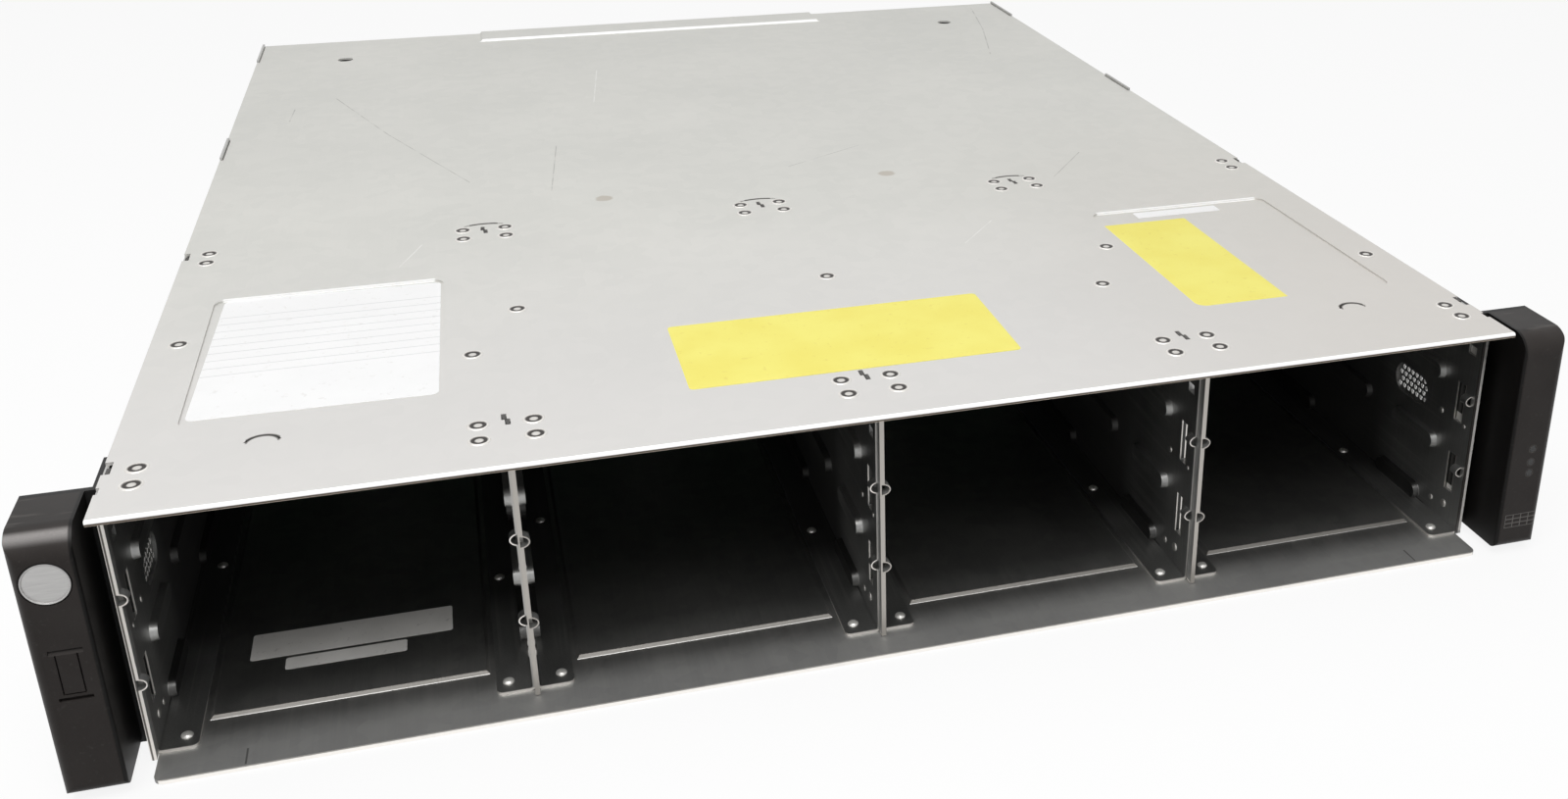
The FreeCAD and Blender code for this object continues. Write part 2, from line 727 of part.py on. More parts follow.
def midplane_bracket():
    """Channel across the chassis behind the midplane board, open for air and for the module links."""
    end = MIDPLANE_Y + BRACKET_FLANGE
    path = [(end, CEILING_Z), (MIDPLANE_Y, CEILING_Z), (MIDPLANE_Y, FLOOR_Z), (end, FLOOR_Z)]
    half = WALL_IN_X - BRACKET_END_GAP
    channel = prism(folded(path, BRACKET_T, BEND_R), on_x(-half), (2 * half, 0, 0))
    cuts = []
    for left, right in vents():
        hole = rectangle(left, right, FLOOR_Z + VENT_FLOOR_GAP, CEILING_Z - VENT_TOP_GAP, VENT_R)
        cuts.append(prism(hole, on_y(MIDPLANE_Y - BRACKET_T), (0, 3 * BRACKET_T, 0)))
    for x in screw_columns():
        for z in SCREW_Z:
            cuts.append(screw_hole(x, z, SCREW_R + SCREW_FIT))
    return bored(channel, cuts)


def bay_centres():
    """Middles of the four columns of drive bays."""
    return [(left + right) / 2 for left, right in zip(BAY_EDGES, BAY_EDGES[1:])]


def vents():
    """Sides of the bracket's openings, two behind every column of bays."""
    spans = []
    for left, right in zip(BAY_EDGES, BAY_EDGES[1:]):
        middle = (left + right) / 2
        spans.append((left + VENT_MARGIN, middle - VENT_RIB / 2))
        spans.append((middle + VENT_RIB / 2, right - VENT_MARGIN))
    return spans


def screw_columns():
    """Screws stand at the dividers and at the board's two ends."""
    end = BOARD_HALF - SCREW_EDGE
    return (-end,) + CROSS_X + (end,)


def screw_hole(x, z, radius):
    """Hole along y through the midplane board and its bracket."""
    return rod(radius, (x, MIDPLANE_Y - 2 * BOARD_T, z), (x, MIDPLANE_Y + 2 * BRACKET_T, z))


def midplane_board():
    """Circuit board ahead of the bracket, with air slots between the rows of drives."""
    front = MIDPLANE_Y - BOARD_T
    board = box(-BOARD_HALF, BOARD_HALF, front, MIDPLANE_Y, BOARD_Z0, BOARD_Z1)
    heights = []
    for line in ROW_LINES:
        middle = line + SLOT_RISE
        heights.append((middle - SLOT_H / 2, middle + SLOT_H / 2))
    crown = BOARD_Z1 - TOP_SLOT_EDGE
    heights.append((crown - TOP_SLOT_H, crown))
    cuts = []
    for left, right in zip(BAY_EDGES, BAY_EDGES[1:]):
        for low, high in heights:
            slot = rectangle(left + SLOT_MARGIN, right - SLOT_MARGIN, low, high)
            cuts.append(prism(slot, on_y(front - BOARD_T), (0, 3 * BOARD_T, 0)))
    for x in screw_columns():
        for z in SCREW_Z:
            cuts.append(screw_hole(x, z, SCREW_R + SCREW_GAP))
    return bored(board, cuts)


def midplane_screws():
    """Pan-head screws holding the board against the bracket."""
    front = MIDPLANE_Y - BOARD_T
    screws = []
    for x in screw_columns():
        for z in SCREW_Z:
            head = rod(SCREW_HEAD_R, (x, front - SCREW_HEAD_L, z), (x, front, z))
            stem = rod(SCREW_R, (x, front, z), (x, MIDPLANE_Y + BRACKET_T, z))
            screws.append(head.fuse(stem))
    return Part.makeCompound(screws)


def drive_connectors():
    """Twelve drive plugs on the midplane board, one per bay."""
    back = MIDPLANE_Y - BOARD_T
    front = back - PLUG_L
    plugs = []
    for x in bay_centres():
        for row in range(ROWS):
            z = row * ROW_PITCH + PLUG_RISE
            body = box(x - PLUG_W / 2, x + PLUG_W / 2, front, back, z - PLUG_H / 2, z + PLUG_H / 2)
            mouth = (z - PLUG_SLOT_H / 2, z + PLUG_SLOT_H / 2)
            slot = box(x - PLUG_SLOT_W / 2, x + PLUG_SLOT_W / 2, front, front + PLUG_SLOT_L, *mouth)
            plugs.append(body.cut(slot))
    return Part.makeCompound(plugs)


def module_links():
    """Places (x, z) of the rear links: two power modules and two controllers."""
    middles = [(left + right) / 2 for left, right in vents()]
    outer = middles[1]
    inner = middles[3]
    low = ctrl_deck(0) + LINK_H / 2
    high = ctrl_deck(1) + LINK_H / 2
    power = PSU_Z0 + PSU_T + PSU_BOARD_LIFT + PSU_BOARD_T + LINK_H / 2
    return [(outer, power), (-outer, power), (inner, low), (inner, high)]


def module_connectors():
    """Four blind-mate links on the rear of the midplane board, reaching through the bracket."""
    links = []
    for x, z in module_links():
        high = (z - LINK_H / 2, z + LINK_H / 2)
        links.append(box(x - LINK_W / 2, x + LINK_W / 2, MIDPLANE_Y, MIDPLANE_Y + LINK_L, *high))
    return Part.makeCompound(links)


def link_socket(x, z):
    """Mating half of a link at the front end of a module's board."""
    front = MIDPLANE_Y + LINK_L + LINK_GAP
    high = (z - LINK_H / 2, z + LINK_H / 2)
    return box(x - LINK_W / 2, x + LINK_W / 2, front, MODULE_FRONT_Y + LINK_SEAT, *high)


def bay_wall():
    """Right-hand wall between the controller bay and the power bay, flanged toward the power bay."""
    end = BAY_WALL_X + BAY_WALL_FLANGE
    path = [(end, CEILING_Z), (BAY_WALL_X, CEILING_Z), (BAY_WALL_X, FLOOR_Z), (end, FLOOR_Z)]
    return prism(folded(path, BAY_WALL_T, BEND_R), on_y(REAR_BAY_Y), (0, REAR_Y - REAR_BAY_Y, 0))


def controller_shelf():
    """Shelf between the two controllers, its folded edges fixed to the bay walls."""
    top = SHELF_Z + SHELF_T
    low = SHELF_Z - SHELF_DROP
    path = [(BAY_WALL_X, low), (BAY_WALL_X, top), (-BAY_WALL_X, top), (-BAY_WALL_X, low)]
    return prism(folded(path, SHELF_T, BEND_R), on_y(REAR_BAY_Y), (0, REAR_Y - REAR_BAY_Y, 0))


def rack_ear():
    """Right-hand angle: a leg on the side wall and a flange with two rack holes."""
    leg = box(HALF_W, HALF_W + EAR_LEG_T, EAR_Y, EAR_Y + EAR_LEG_L, EAR_Z0, EAR_Z1)
    flange = box(HALF_W, RACK_HALF, EAR_Y, EAR_Y + EAR_T, EAR_Z0, EAR_Z1)
    holes = []
    middle = (EAR_Z0 + EAR_Z1) / 2
    for side in (-1, 1):
        z = middle + side * RACK_HOLE_DZ / 2
        start = (RACK_HOLE_X, EAR_Y - EAR_T, z)
        holes.append(rod(RACK_HOLE_R, start, (RACK_HOLE_X, EAR_Y + 2 * EAR_T, z)))
    return bored(fused([leg, flange]), holes)


def cap_shell(inset):
    """Right-hand ear cap's outer form, or its hollow when inset by the wall."""
    x0 = CAP_IN_X + inset
    x1 = RACK_HALF - inset
    front = CAP_FRONT_Y + inset
    z0 = CAP_Z0 + inset
    z1 = CAP_Z1 - inset
    side = [(front, z0, CAP_FOOT_R - inset), (EAR_Y, z0, 0),
            (EAR_Y, z1, 0), (front, z1, CAP_TOP_R - inset)]
    body = prism(side, on_x(x0), (x1 - x0, 0, 0))
    plan = [(x0, front, CAP_IN_R - inset), (x1, front, CAP_SIDE_R - inset), (x1, EAR_Y, 0), (x0, EAR_Y, 0)]
    return body.common(prism(plan, on_z(z0), (0, 0, z1 - z0)))


def left_ear_cap():
    """Left cap: shallow seat for the badge, and a release button outlined by slits under a bevelled ledge."""
    shell = cap_shell(0).cut(cap_shell(CAP_T))
    front = CAP_FRONT_Y
    back = front + GRIP_DEPTH
    seat = rod(BADGE_R + BADGE_GAP, (BADGE_X, front - CAP_T, BADGE_Z), (BADGE_X, front + BADGE_T, BADGE_Z))
    x0 = CAP_IN_X + GRIP_IN_MARGIN
    x1 = RACK_HALF - GRIP_OUT_MARGIN
    z0 = CAP_Z0 + GRIP_RISE
    z1 = z0 + GRIP_H
    brow = z1 - GRIP_LEDGE_H
    ledge = prism([(front, brow, 0), (back, z1, 0), (front, z1, 0)], on_x(x0), (x1 - x0, 0, 0))
    cuts = [seat, ledge, box(x0, x1, front, back, z0, z0 + GRIP_FOOT_H)]
    low = z0 + GRIP_FOOT_H + GRIP_FOOT_GAP
    inner = x0 + BUTTON_INSET
    outer = x1 - BUTTON_INSET
    cuts.append(box(inner, outer, front, back, low, low + BUTTON_SLIT))
    cuts.append(box(inner, inner + BUTTON_SLIT, front, back, low, brow))
    cuts.append(box(outer - BUTTON_SLIT, outer, front, back, low, brow))
    return mirrored(bored(shell, cuts))


def left_badge():
    """Plain round disc seated in the left cap."""
    disc = rod(BADGE_R, (BADGE_X, CAP_FRONT_Y, BADGE_Z), (BADGE_X, CAP_FRONT_Y + BADGE_T, BADGE_Z))
    return mirrored(disc)


def right_ear_cap():
    """Right cap with three holes for the light pipes."""
    shell = cap_shell(0).cut(cap_shell(CAP_T))
    holes = []
    for z in PIPE_Z:
        start = (PIPE_X, CAP_FRONT_Y - CAP_T, z)
        holes.append(rod(PIPE_R + PIPE_FIT, start, (PIPE_X, CAP_FRONT_Y + 2 * CAP_T, z)))
    return bored(shell, holes)


def status_light_pipes():
    """Three clear rods on a common bar, from the status lamps to the cap's face."""
    back = EAR_Y - STATUS_T - LED_L - LED_GAP
    inner = CAP_FRONT_Y + CAP_T
    half = PIPE_BAR_W / 2
    low = PIPE_Z[0] - PIPE_R - PIPE_BAR_END
    high = PIPE_Z[-1] + PIPE_R + PIPE_BAR_END
    bar = box(PIPE_X - half, PIPE_X + half, inner, inner + PIPE_BAR_T, low, high)
    rods = [rod(PIPE_R, (PIPE_X, CAP_FRONT_Y, z), (PIPE_X, back, z)) for z in PIPE_Z]
    return fused([bar] + rods)


def status_board():
    """Small lamp board on the right rack flange, inside the cap."""
    front = EAR_Y - STATUS_T
    margin = CAP_T + STATUS_GAP
    high = (PIPE_Z[0] - STATUS_MARGIN, PIPE_Z[-1] + STATUS_MARGIN)
    pieces = [box(CAP_IN_X + margin, RACK_HALF - margin, front, EAR_Y, *high)]
    half = LED_W / 2
    for z in PIPE_Z:
        pieces.append(box(PIPE_X - half, PIPE_X + half, front - LED_L, front, z - half, z + half))
    return fused(pieces)


def ctrl_floor(level):
    """Underside of a controller: 0 for the lower bay, 1 for the upper."""
    return (FLOOR_Z if level == 0 else SHELF_Z + SHELF_T) + CTRL_GAP


def ctrl_deck(level):
    """Upper face of a controller's board."""
    return ctrl_floor(level) + CTRL_T + CTRL_LIFT + CTRL_BOARD_T


def port_row():
    """Left edge, width, height and depth of each port, side by side from the left lever."""
    left = -LEVER_X + LEVER_W / 2 + CLEVIS_GAP + CLEVIS_T + PORT_MARGIN
    row = []
    for width, height, depth in PORTS:
        row.append((left, width, height, depth))
        left += width + PORT_STEP
    return row


def controller_tray(level):
    """Controller's folded tray with its rear panel, board pillars and lever clevises."""
    z = ctrl_floor(level)
    top = z + CTRL_H
    path = [(-CTRL_HALF, top), (-CTRL_HALF, z), (CTRL_HALF, z), (CTRL_HALF, top)]
    length = REAR_Y - MODULE_FRONT_Y
    channel = prism(folded(path, CTRL_T, BEND_R), on_y(MODULE_FRONT_Y), (0, length, 0))
    added = [channel, box(-CTRL_HALF, CTRL_HALF, REAR_Y - CTRL_T, REAR_Y, z + CTRL_T, top)]
    stations = (MODULE_FRONT_Y + PILLAR_FRONT, (MODULE_FRONT_Y + REAR_Y) / 2, REAR_Y - PILLAR_REAR)
    through = (REAR_Y - 2 * CTRL_T, REAR_Y + CTRL_T)
    cuts = []
    for side in (-1, 1):
        x = side * (CTRL_HALF - PILLAR_INSET)
        for y in stations:
            added.append(rod(PILLAR_R, (x, y, z + CTRL_T / 2), (x, y, z + CTRL_T + CTRL_LIFT)))
        x = side * LEVER_X
        knob = z + PIVOT_Z + KNOB_Z
        added.extend(clevis(x, z + PIVOT_Z, LEVER_W))
        cuts.append(rod(STEM_R + STEM_SEAT, (x, through[0], knob), (x, through[1], knob)))
    deck = ctrl_deck(level)
    for left, width, height, depth in port_row():
        hole = (left - PORT_GAP, left + width + PORT_GAP)
        cuts.append(box(*hole, *through, deck - PORT_GAP, deck + height + PORT_GAP))
    for col in range(PANEL_VENT_COLS):
        x = (col - (PANEL_VENT_COLS - 1) / 2) * PANEL_VENT_STEP
        sides = (x - PANEL_VENT_W / 2, x + PANEL_VENT_W / 2)
        for drop in PANEL_VENT_DROP:
            cuts.append(box(*sides, *through, top - drop - PANEL_VENT_H, top - drop))
    return bored(fused(added), cuts)


def clevis(x, z, width):
    """Two ears on a rear panel, bored for a lever's trunnions."""
    ears = []
    reach = PIVOT_Y + BARREL_R
    for side in (-1, 1):
        near = x + side * (width / 2 + CLEVIS_GAP)
        far = near + side * CLEVIS_T
        root = REAR_Y - CTRL_T / 2
        nose = BARREL_R - 1e-3
        profile = [(root, z - BARREL_R, 0), (REAR_Y + reach, z - BARREL_R, nose),
                   (REAR_Y + reach, z + BARREL_R, nose), (root, z + BARREL_R, 0)]
        ear = prism(profile, on_x(near), (far - near, 0, 0))
        pin = (REAR_Y + PIVOT_Y, z)
        ears.append(ear.cut(rod(TRUNNION_R + TRUNNION_FIT, (near - side, *pin), (far + side, *pin))))
    return ears


def lever(x, z, width, thickness, rise, tip):
    """Lever lying up against the rear panel: barrel with trunnions, arm and outward finger tip."""
    pin_y = REAR_Y + PIVOT_Y
    front = pin_y - thickness / 2
    back = pin_y + thickness / 2
    top = z + rise
    arm = [(front, z, 0), (back, z, 0), (back, top - thickness, thickness),
           (back + tip, top - thickness, 0), (back + tip, top, 0), (front, top, thickness)]
    left = x - width / 2
    body = prism(arm, on_x(left), (width, 0, 0))
    barrel = rod(BARREL_R, (left, pin_y, z), (left + width, pin_y, z))
    over = CLEVIS_GAP + CLEVIS_T
    axle = rod(TRUNNION_R, (left - over, pin_y, z), (left + width + over, pin_y, z))
    return fused([body, barrel, axle])


def controller_lever(level, side):
    """Ejector lever with the hole for its thumbscrew."""
    z = ctrl_floor(level) + PIVOT_Z
    x = side * LEVER_X
    arm = lever(x, z, LEVER_W, LEVER_T, LEVER_RISE, LEVER_TIP)
    pin_y = REAR_Y + PIVOT_Y
    knob = z + KNOB_Z
    return arm.cut(rod(STEM_R + STEM_FIT, (x, pin_y - LEVER_T, knob), (x, pin_y + LEVER_T, knob)))


def thumbscrew(level, side):
    """Captive thumbscrew: knob outside the lever, stem through it into the panel, collar behind it."""
    z = ctrl_floor(level) + PIVOT_Z + KNOB_Z
    x = side * LEVER_X
    face = REAR_Y + PIVOT_Y + LEVER_T / 2
    knob = rod(KNOB_R, (x, face + STEM_FIT, z), (x, face + STEM_FIT + KNOB_L, z))
    stem = rod(STEM_R, (x, REAR_Y - CTRL_T, z), (x, face + STEM_FIT, z))
    return fused([knob, stem])


def controller_board(level):
    """Controller board on its pillars, with midplane socket, heat sink, memory card and backup pack."""
    deck = ctrl_deck(level)
    half = CTRL_HALF - CTRL_T - CTRL_BOARD_GAP
    rear = REAR_Y - CTRL_T - CTRL_BOARD_GAP
    x, socket_z = module_links()[2 + level]
    board = box(-half, half, MODULE_FRONT_Y, rear, deck - CTRL_BOARD_T, deck)
    pieces = [board, link_socket(x, socket_z)]
    pack = half - PACK_EDGE - PACK_W
    start = MODULE_FRONT_Y + PACK_BACK
    pieces.append(box(pack, pack + PACK_W, start, start + PACK_L, deck, deck + PACK_H))
    seat = pack - CARD_GAP - CARD_SEAT_W
    start = MODULE_FRONT_Y + CARD_BACK
    end = start + CARD_SEAT_L
    pieces.append(box(seat, seat + CARD_SEAT_W, start, end, deck, deck + CARD_SEAT_H))
    card = seat + (CARD_SEAT_W - CARD_T) / 2
    pieces.append(box(card, card + CARD_T, start + CARD_INSET, end - CARD_INSET, deck, deck + CARD_H))
    sink = seat - SINK_GAP - SINK_SIZE
    start = MODULE_FRONT_Y + SINK_BACK
    end = start + SINK_SIZE
    pieces.append(box(sink, sink + SINK_SIZE, start, end, deck, deck + SINK_BASE))
    pitch = (SINK_SIZE - SINK_FIN_T) / (SINK_FINS - 1)
    for k in range(SINK_FINS):
        fin = sink + k * pitch
        pieces.append(box(fin, fin + SINK_FIN_T, start, end, deck, deck + SINK_BASE + SINK_FIN_H))
    return fused(pieces)


def controller_ports(level):
    """Row of port housings on the controller board, closed with dust plugs."""
    deck = ctrl_deck(level)
    end = REAR_Y + PORT_PROUD
    cages = []
    for left, width, height, depth in port_row():
        cage = box(left, left + width, end - depth, end, deck, deck + height)
        middle = (left + width / 2, deck + height / 2)
        sides = (middle[0] - width / 4, middle[0] + width / 4)
        grip = box(*sides, end, end + 3 * PORT_PROUD, middle[1] - height / 6, middle[1] + height / 6)
        cages.append(cage.fuse(grip))
    return Part.makeCompound(cages)


def fan_centre():
    """Middle of the right-hand fan, on the rear panel."""
    return (PSU_OUT_X - PSU_T - FAN_WALL_GAP - FAN_SIZE / 2, (PSU_Z0 + PSU_Z1) / 2)


def column_centre():
    """Middle of the inlet and switch column."""
    return PSU_IN_X + PSU_T + COLUMN_GAP + INLET_W / 2


def psu_case():
    """Right-hand module case: folded tray with rear panel, open at the front for the link and the air."""
    top = PSU_Z1 - PSU_T
    path = [(PSU_IN_X, top), (PSU_IN_X, PSU_Z0), (PSU_OUT_X, PSU_Z0), (PSU_OUT_X, top)]
    length = REAR_Y - MODULE_FRONT_Y
    channel = prism(folded(path, PSU_T, BEND_R), on_y(MODULE_FRONT_Y), (0, length, 0))
    panel = box(PSU_IN_X, PSU_OUT_X, REAR_Y - PSU_T, REAR_Y, PSU_Z0 + PSU_T, top)
    added = [channel, panel] + clevis(handle_x(), PSU_Z0 + HANDLE_Z, HANDLE_W)
    under = PSU_Z0 + PSU_T
    for x in (PSU_IN_X + PSU_PILLAR_INSET, PSU_OUT_X - PSU_PILLAR_INSET):
        for y in (MODULE_FRONT_Y + PILLAR_FRONT, REAR_Y - PSU_PILLAR_REAR):
            added.append(rod(PILLAR_R, (x, y, under - PSU_T / 2), (x, y, under + PSU_BOARD_LIFT)))
    through = (REAR_Y - 2 * PSU_T, REAR_Y + PSU_T)
    fx, fz = fan_centre()
    cuts = [rod(FAN_BORE_R, (fx, through[0], fz), (fx, through[1], fz))]
    column = column_centre()
    for z, width, height in ((INLET_Z, INLET_W, INLET_H), (SWITCH_Z, SWITCH_W, SWITCH_H)):
        half = width / 2 + PANEL_GAP
        rise = height / 2 + PANEL_GAP
        middle = PSU_Z0 + z
        cuts.append(box(column - half, column + half, *through, middle - rise, middle + rise))
    return bored(fused(added), cuts)


def handle_x():
    """Middle of the pull handle, beside the column."""
    column_edge = column_centre() + INLET_W / 2 + ENTRY_RIM
    return column_edge + HANDLE_GAP + CLEVIS_T + CLEVIS_GAP + HANDLE_W / 2


def psu_lid():
    """Flat lid on the module case."""
    return box(PSU_IN_X, PSU_OUT_X, MODULE_FRONT_Y, REAR_Y, PSU_Z1 - PSU_T, PSU_Z1)


def psu_fan_frame():
    """Square fan frame behind the rear panel, with motor base and struts at its inner end."""
    fx, fz = fan_centre()
    half = FAN_SIZE / 2
    back = REAR_Y - PSU_T
    front = back - FAN_DEPTH
    face = rectangle(fx - half, fx + half, fz - half, fz + half, FAN_CORNER_R)
    square = prism(face, on_y(front), (0, FAN_DEPTH, 0))
    tunnel = rod(FAN_BORE_R, (fx, front - PSU_T, fz), (fx, back + PSU_T, fz))
    motor = rod(HUB_R, (fx, front, fz), (fx, front + STRUT_T, fz))
    pieces = [square.cut(tunnel), motor]
    for k in range(STRUTS):
        strut = box(0, FAN_BORE_R + FAN_RIM / 2, front, front + STRUT_T, -STRUT_W / 2, STRUT_W / 2)
        strut.rotate(V(0, 0, 0), V(0, 1, 0), 360 / STRUTS * (k + 0.5))
        strut.translate(V(fx, 0, fz))
        pieces.append(strut)
    frame = fused(pieces)
    shaft = (front - STRUT_T, front + 2 * STRUT_T)
    return frame.cut(rod(SHAFT_R + SHAFT_FIT, (fx, shaft[0], fz), (fx, shaft[1], fz)))


def blade_wire(radius, pitch, turn, front, width):
    """Thin slanted section of a fan blade, on the plane at the given distance from the shaft."""
    slant = math.radians(pitch)
    along = (math.cos(slant), math.sin(slant))
    across = (-math.sin(slant) * BLADE_T / 2, math.cos(slant) * BLADE_T / 2)
    half = width / 2 / math.sin(slant)
    middle = front + width / 2
    points = []
    for end, face in ((-1, -1), (1, -1), (1, 1), (-1, 1)):
        x = end * half * along[0] + face * across[0]
        y = middle + end * half * along[1] + face * across[1]
        points.append(V(x, y, radius))
    points.append(points[0])
    wire = Part.makePolygon(points)
    wire.rotate(V(0, 0, 0), V(0, 1, 0), turn)
    return wire


def psu_fan_rotor():
    """Fan rotor: cup hub on a shaft with swept, twisted blades."""
    fx, fz = fan_centre()
    front = REAR_Y - PSU_T - FAN_DEPTH + STRUT_T + ROTOR_GAP
    cup = Part.makeCylinder(HUB_R, HUB_L, V(0, front, 0), V(0, 1, 0))
    rims = [e for e in cup.Edges if e.BoundBox.YLength < 1e-3 and e.BoundBox.YMin > front + HUB_L / 2]
    cup = cup.makeFillet(HUB_ROUND, rims)
    shaft = rod(SHAFT_R, (0, front - ROTOR_GAP - STRUT_T, 0), (0, front + BLADE_MARGIN, 0))
    span = HUB_L - 2 * BLADE_MARGIN
    root = blade_wire(HUB_R - 2 * BLADE_T, BLADE_PITCH + BLADE_TWIST, 0, front + BLADE_MARGIN, span)
    tip = blade_wire(ROTOR_R + BLADE_T, BLADE_PITCH, BLADE_SWEEP, front + BLADE_MARGIN, span)
    blade = Part.makeLoft([root, tip], True, True)
    envelope = Part.makeCylinder(ROTOR_R, HUB_L, V(0, front, 0), V(0, 1, 0))
    blade = blade.common(envelope)
    pieces = [cup, shaft]
    for k in range(BLADES):
        copy = blade.copy()
        copy.rotate(V(0, 0, 0), V(0, 1, 0), 360 / BLADES * k)
        pieces.append(copy)
    rotor = fused(pieces)
    rotor.translate(V(fx, 0, fz))
    return rotor


def psu_grille():
    """Finger guard on the rear panel: rings on two crossing bars with round ends."""
    fx, fz = fan_centre()
    pieces = []
    back = REAR_Y + GRILLE_T
    for k in range(GRILLE_RINGS):
        radius = FAN_BORE_R - GRILLE_EDGE - k * GRILLE_PITCH
        outer = rod(radius + GRILLE_RING_W / 2, (fx, REAR_Y, fz), (fx, back, fz))
        inner = rod(radius - GRILLE_RING_W / 2, (fx, REAR_Y, fz), (fx, back, fz))
        pieces.append(outer.cut(inner))
    reach = (FAN_SIZE / 2 - FAN_CORNER_R) * math.sqrt(2)
    for turn in (45, 135):
        bar = box(-reach, reach, REAR_Y, back, -GRILLE_BAR_W / 2, GRILLE_BAR_W / 2)
        bar.rotate(V(0, 0, 0), V(0, 1, 0), turn)
        bar.translate(V(fx, 0, fz))
        pieces.append(bar)
        for side in (-1, 1):
            x = fx + side * reach * math.cos(math.radians(turn))
            z = fz - side * reach * math.sin(math.radians(turn))
            pieces.append(rod(GRILLE_EAR_R, (x, REAR_Y, z), (x, back, z)))
    return fused(pieces)


def switch_pivot():
    """Rocker axis: distance along y and height."""
    return (REAR_Y - ROCKER_SINK, PSU_Z0 + SWITCH_Z)


def psu_entry():
    """Mains entry: one rim round an upright bevelled inlet with three blades and a rocker switch well."""
    x = column_centre()
    half = INLET_W / 2 + ENTRY_RIM
    low = PSU_Z0 + INLET_Z - INLET_H / 2 - ENTRY_RIM
    high = PSU_Z0 + SWITCH_Z + SWITCH_H / 2 + ENTRY_RIM
    plate = rectangle(x - half, x + half, low, high, ENTRY_RIM_R)
    rim = prism(plate, on_y(REAR_Y), (0, ENTRY_RIM_T, 0))
    face = REAR_Y + ENTRY_RIM_T
    z = PSU_Z0 + INLET_Z
    shell = (z - INLET_H / 2, z + INLET_H / 2)
    inlet = box(x - INLET_W / 2, x + INLET_W / 2, REAR_Y - INLET_L, face, *shell)
    wide = x + INLET_W / 2 - INLET_WALL
    bevel = wide - INLET_CHAMFER
    flat = x - INLET_W / 2 + INLET_WALL
    low = shell[0] + INLET_WALL
    high = shell[1] - INLET_WALL
    mouth = [(flat, low, 0), (bevel, low, 0), (wide, low + INLET_CHAMFER, 0),
             (wide, high - INLET_CHAMFER, 0), (bevel, high, 0), (flat, high, 0)]
    floor = REAR_Y - INLET_L + INLET_WALL
    socket = prism(mouth, on_y(floor), (0, face - floor, 0))
    y, axis_z = switch_pivot()
    half = SWITCH_W / 2
    rise = SWITCH_H / 2
    switch = box(x - half, x + half, REAR_Y - SWITCH_L, face, axis_z - rise, axis_z + rise)
    inner = half - SWITCH_WALL
    clear = rise - SWITCH_WALL
    depth = (REAR_Y - SWITCH_L + SWITCH_WALL, face)
    well = box(x - inner, x + inner, *depth, axis_z - clear, axis_z + clear)
    axle = rod(TRUNNION_R + TRUNNION_FIT, (x - half, y, axis_z), (x + half, y, axis_z))
    housing = bored(fused([rim, inlet, switch]), [socket, well, axle])
    blades = []
    for k, shift in ((-1, -1), (0, 1), (1, -1)):
        bx = x + shift * PIN_SHIFT
        bz = z + k * PIN_PITCH
        depth = (floor - INLET_WALL / 2, floor + PIN_L)
        blades.append(box(bx - PIN_W / 2, bx + PIN_W / 2, *depth, bz - PIN_H / 2, bz + PIN_H / 2))
    return fused([housing] + blades)


def psu_rocker():
    """Rocker with a hollowed face, on trunnions in the switch frame, drawn with its lower half pressed."""
    x = column_centre()
    y, z = switch_pivot()
    wide = SWITCH_W / 2 - SWITCH_WALL - ROCKER_GAP
    tall = SWITCH_H / 2 - SWITCH_WALL - ROCKER_END_GAP
    crest = REAR_Y + ENTRY_RIM_T + ROCKER_PROUD
    dip = crest - ROCKER_PROUD
    skirt = y - ROCKER_SKIRT
    belly = skirt - ROCKER_SINK
    face = [V(x - wide, crest, z + tall), V(x - wide, dip, z), V(x - wide, crest, z - tall)]
    back = [V(x - wide, skirt, z - tall), V(x - wide, belly, z), V(x - wide, skirt, z + tall)]
    edges = [Part.Arc(*face).toShape(), Part.LineSegment(face[2], back[0]).toShape(),
             Part.Arc(*back).toShape(), Part.LineSegment(back[2], face[0]).toShape()]
    body = Part.Face(Part.Wire(edges)).extrude(V(2 * wide, 0, 0))
    axle = rod(TRUNNION_R, (x - SWITCH_W / 2, y, z), (x + SWITCH_W / 2, y, z))
    rocker = fused([body, axle])
    rocker.rotate(V(x, y, z), V(1, 0, 0), ROCKER_TILT)
    return rocker


def psu_handle():
    """Pull handle hinged near the floor of the rear panel."""
    return lever(handle_x(), PSU_Z0 + HANDLE_Z, HANDLE_W, HANDLE_T, HANDLE_RISE, HANDLE_TIP)


def psu_board():
    """Power board on its pillars, with heat sinks, transformer, capacitors and the midplane socket."""
    z = PSU_Z0 + PSU_T + PSU_BOARD_LIFT
    deck = z + PSU_BOARD_T
    left = PSU_IN_X + PSU_T + PSU_BOARD_GAP
    right = PSU_OUT_X - PSU_T - PSU_BOARD_GAP
    rear = REAR_Y - PSU_T - FAN_DEPTH - FAN_BOARD_GAP
    x, socket_z = module_links()[1]
    pieces = [box(left, right, MODULE_FRONT_Y, rear, z, deck), link_socket(x, socket_z)]
    along = (MODULE_FRONT_Y + RADIATOR_END, rear - RADIATOR_END)
    for edge in (left + RADIATOR_EDGE, right - RADIATOR_EDGE - RADIATOR_T):
        pieces.append(box(edge, edge + RADIATOR_T, *along, deck, deck + RADIATOR_H))
    coil = left + COIL_EDGE
    start = MODULE_FRONT_Y + COIL_BACK
    pieces.append(box(coil, coil + COIL_W, start, start + COIL_L, deck, deck + COIL_H))
    can = left + CAN_EDGE
    for k in range(CANS):
        y = MODULE_FRONT_Y + CAN_BACK + k * CAN_PITCH
        pieces.append(rod(CAN_R, (can, y, deck), (can, y, deck + CAN_H)))
    return fused(pieces)


os.makedirs("parts", exist_ok=True)

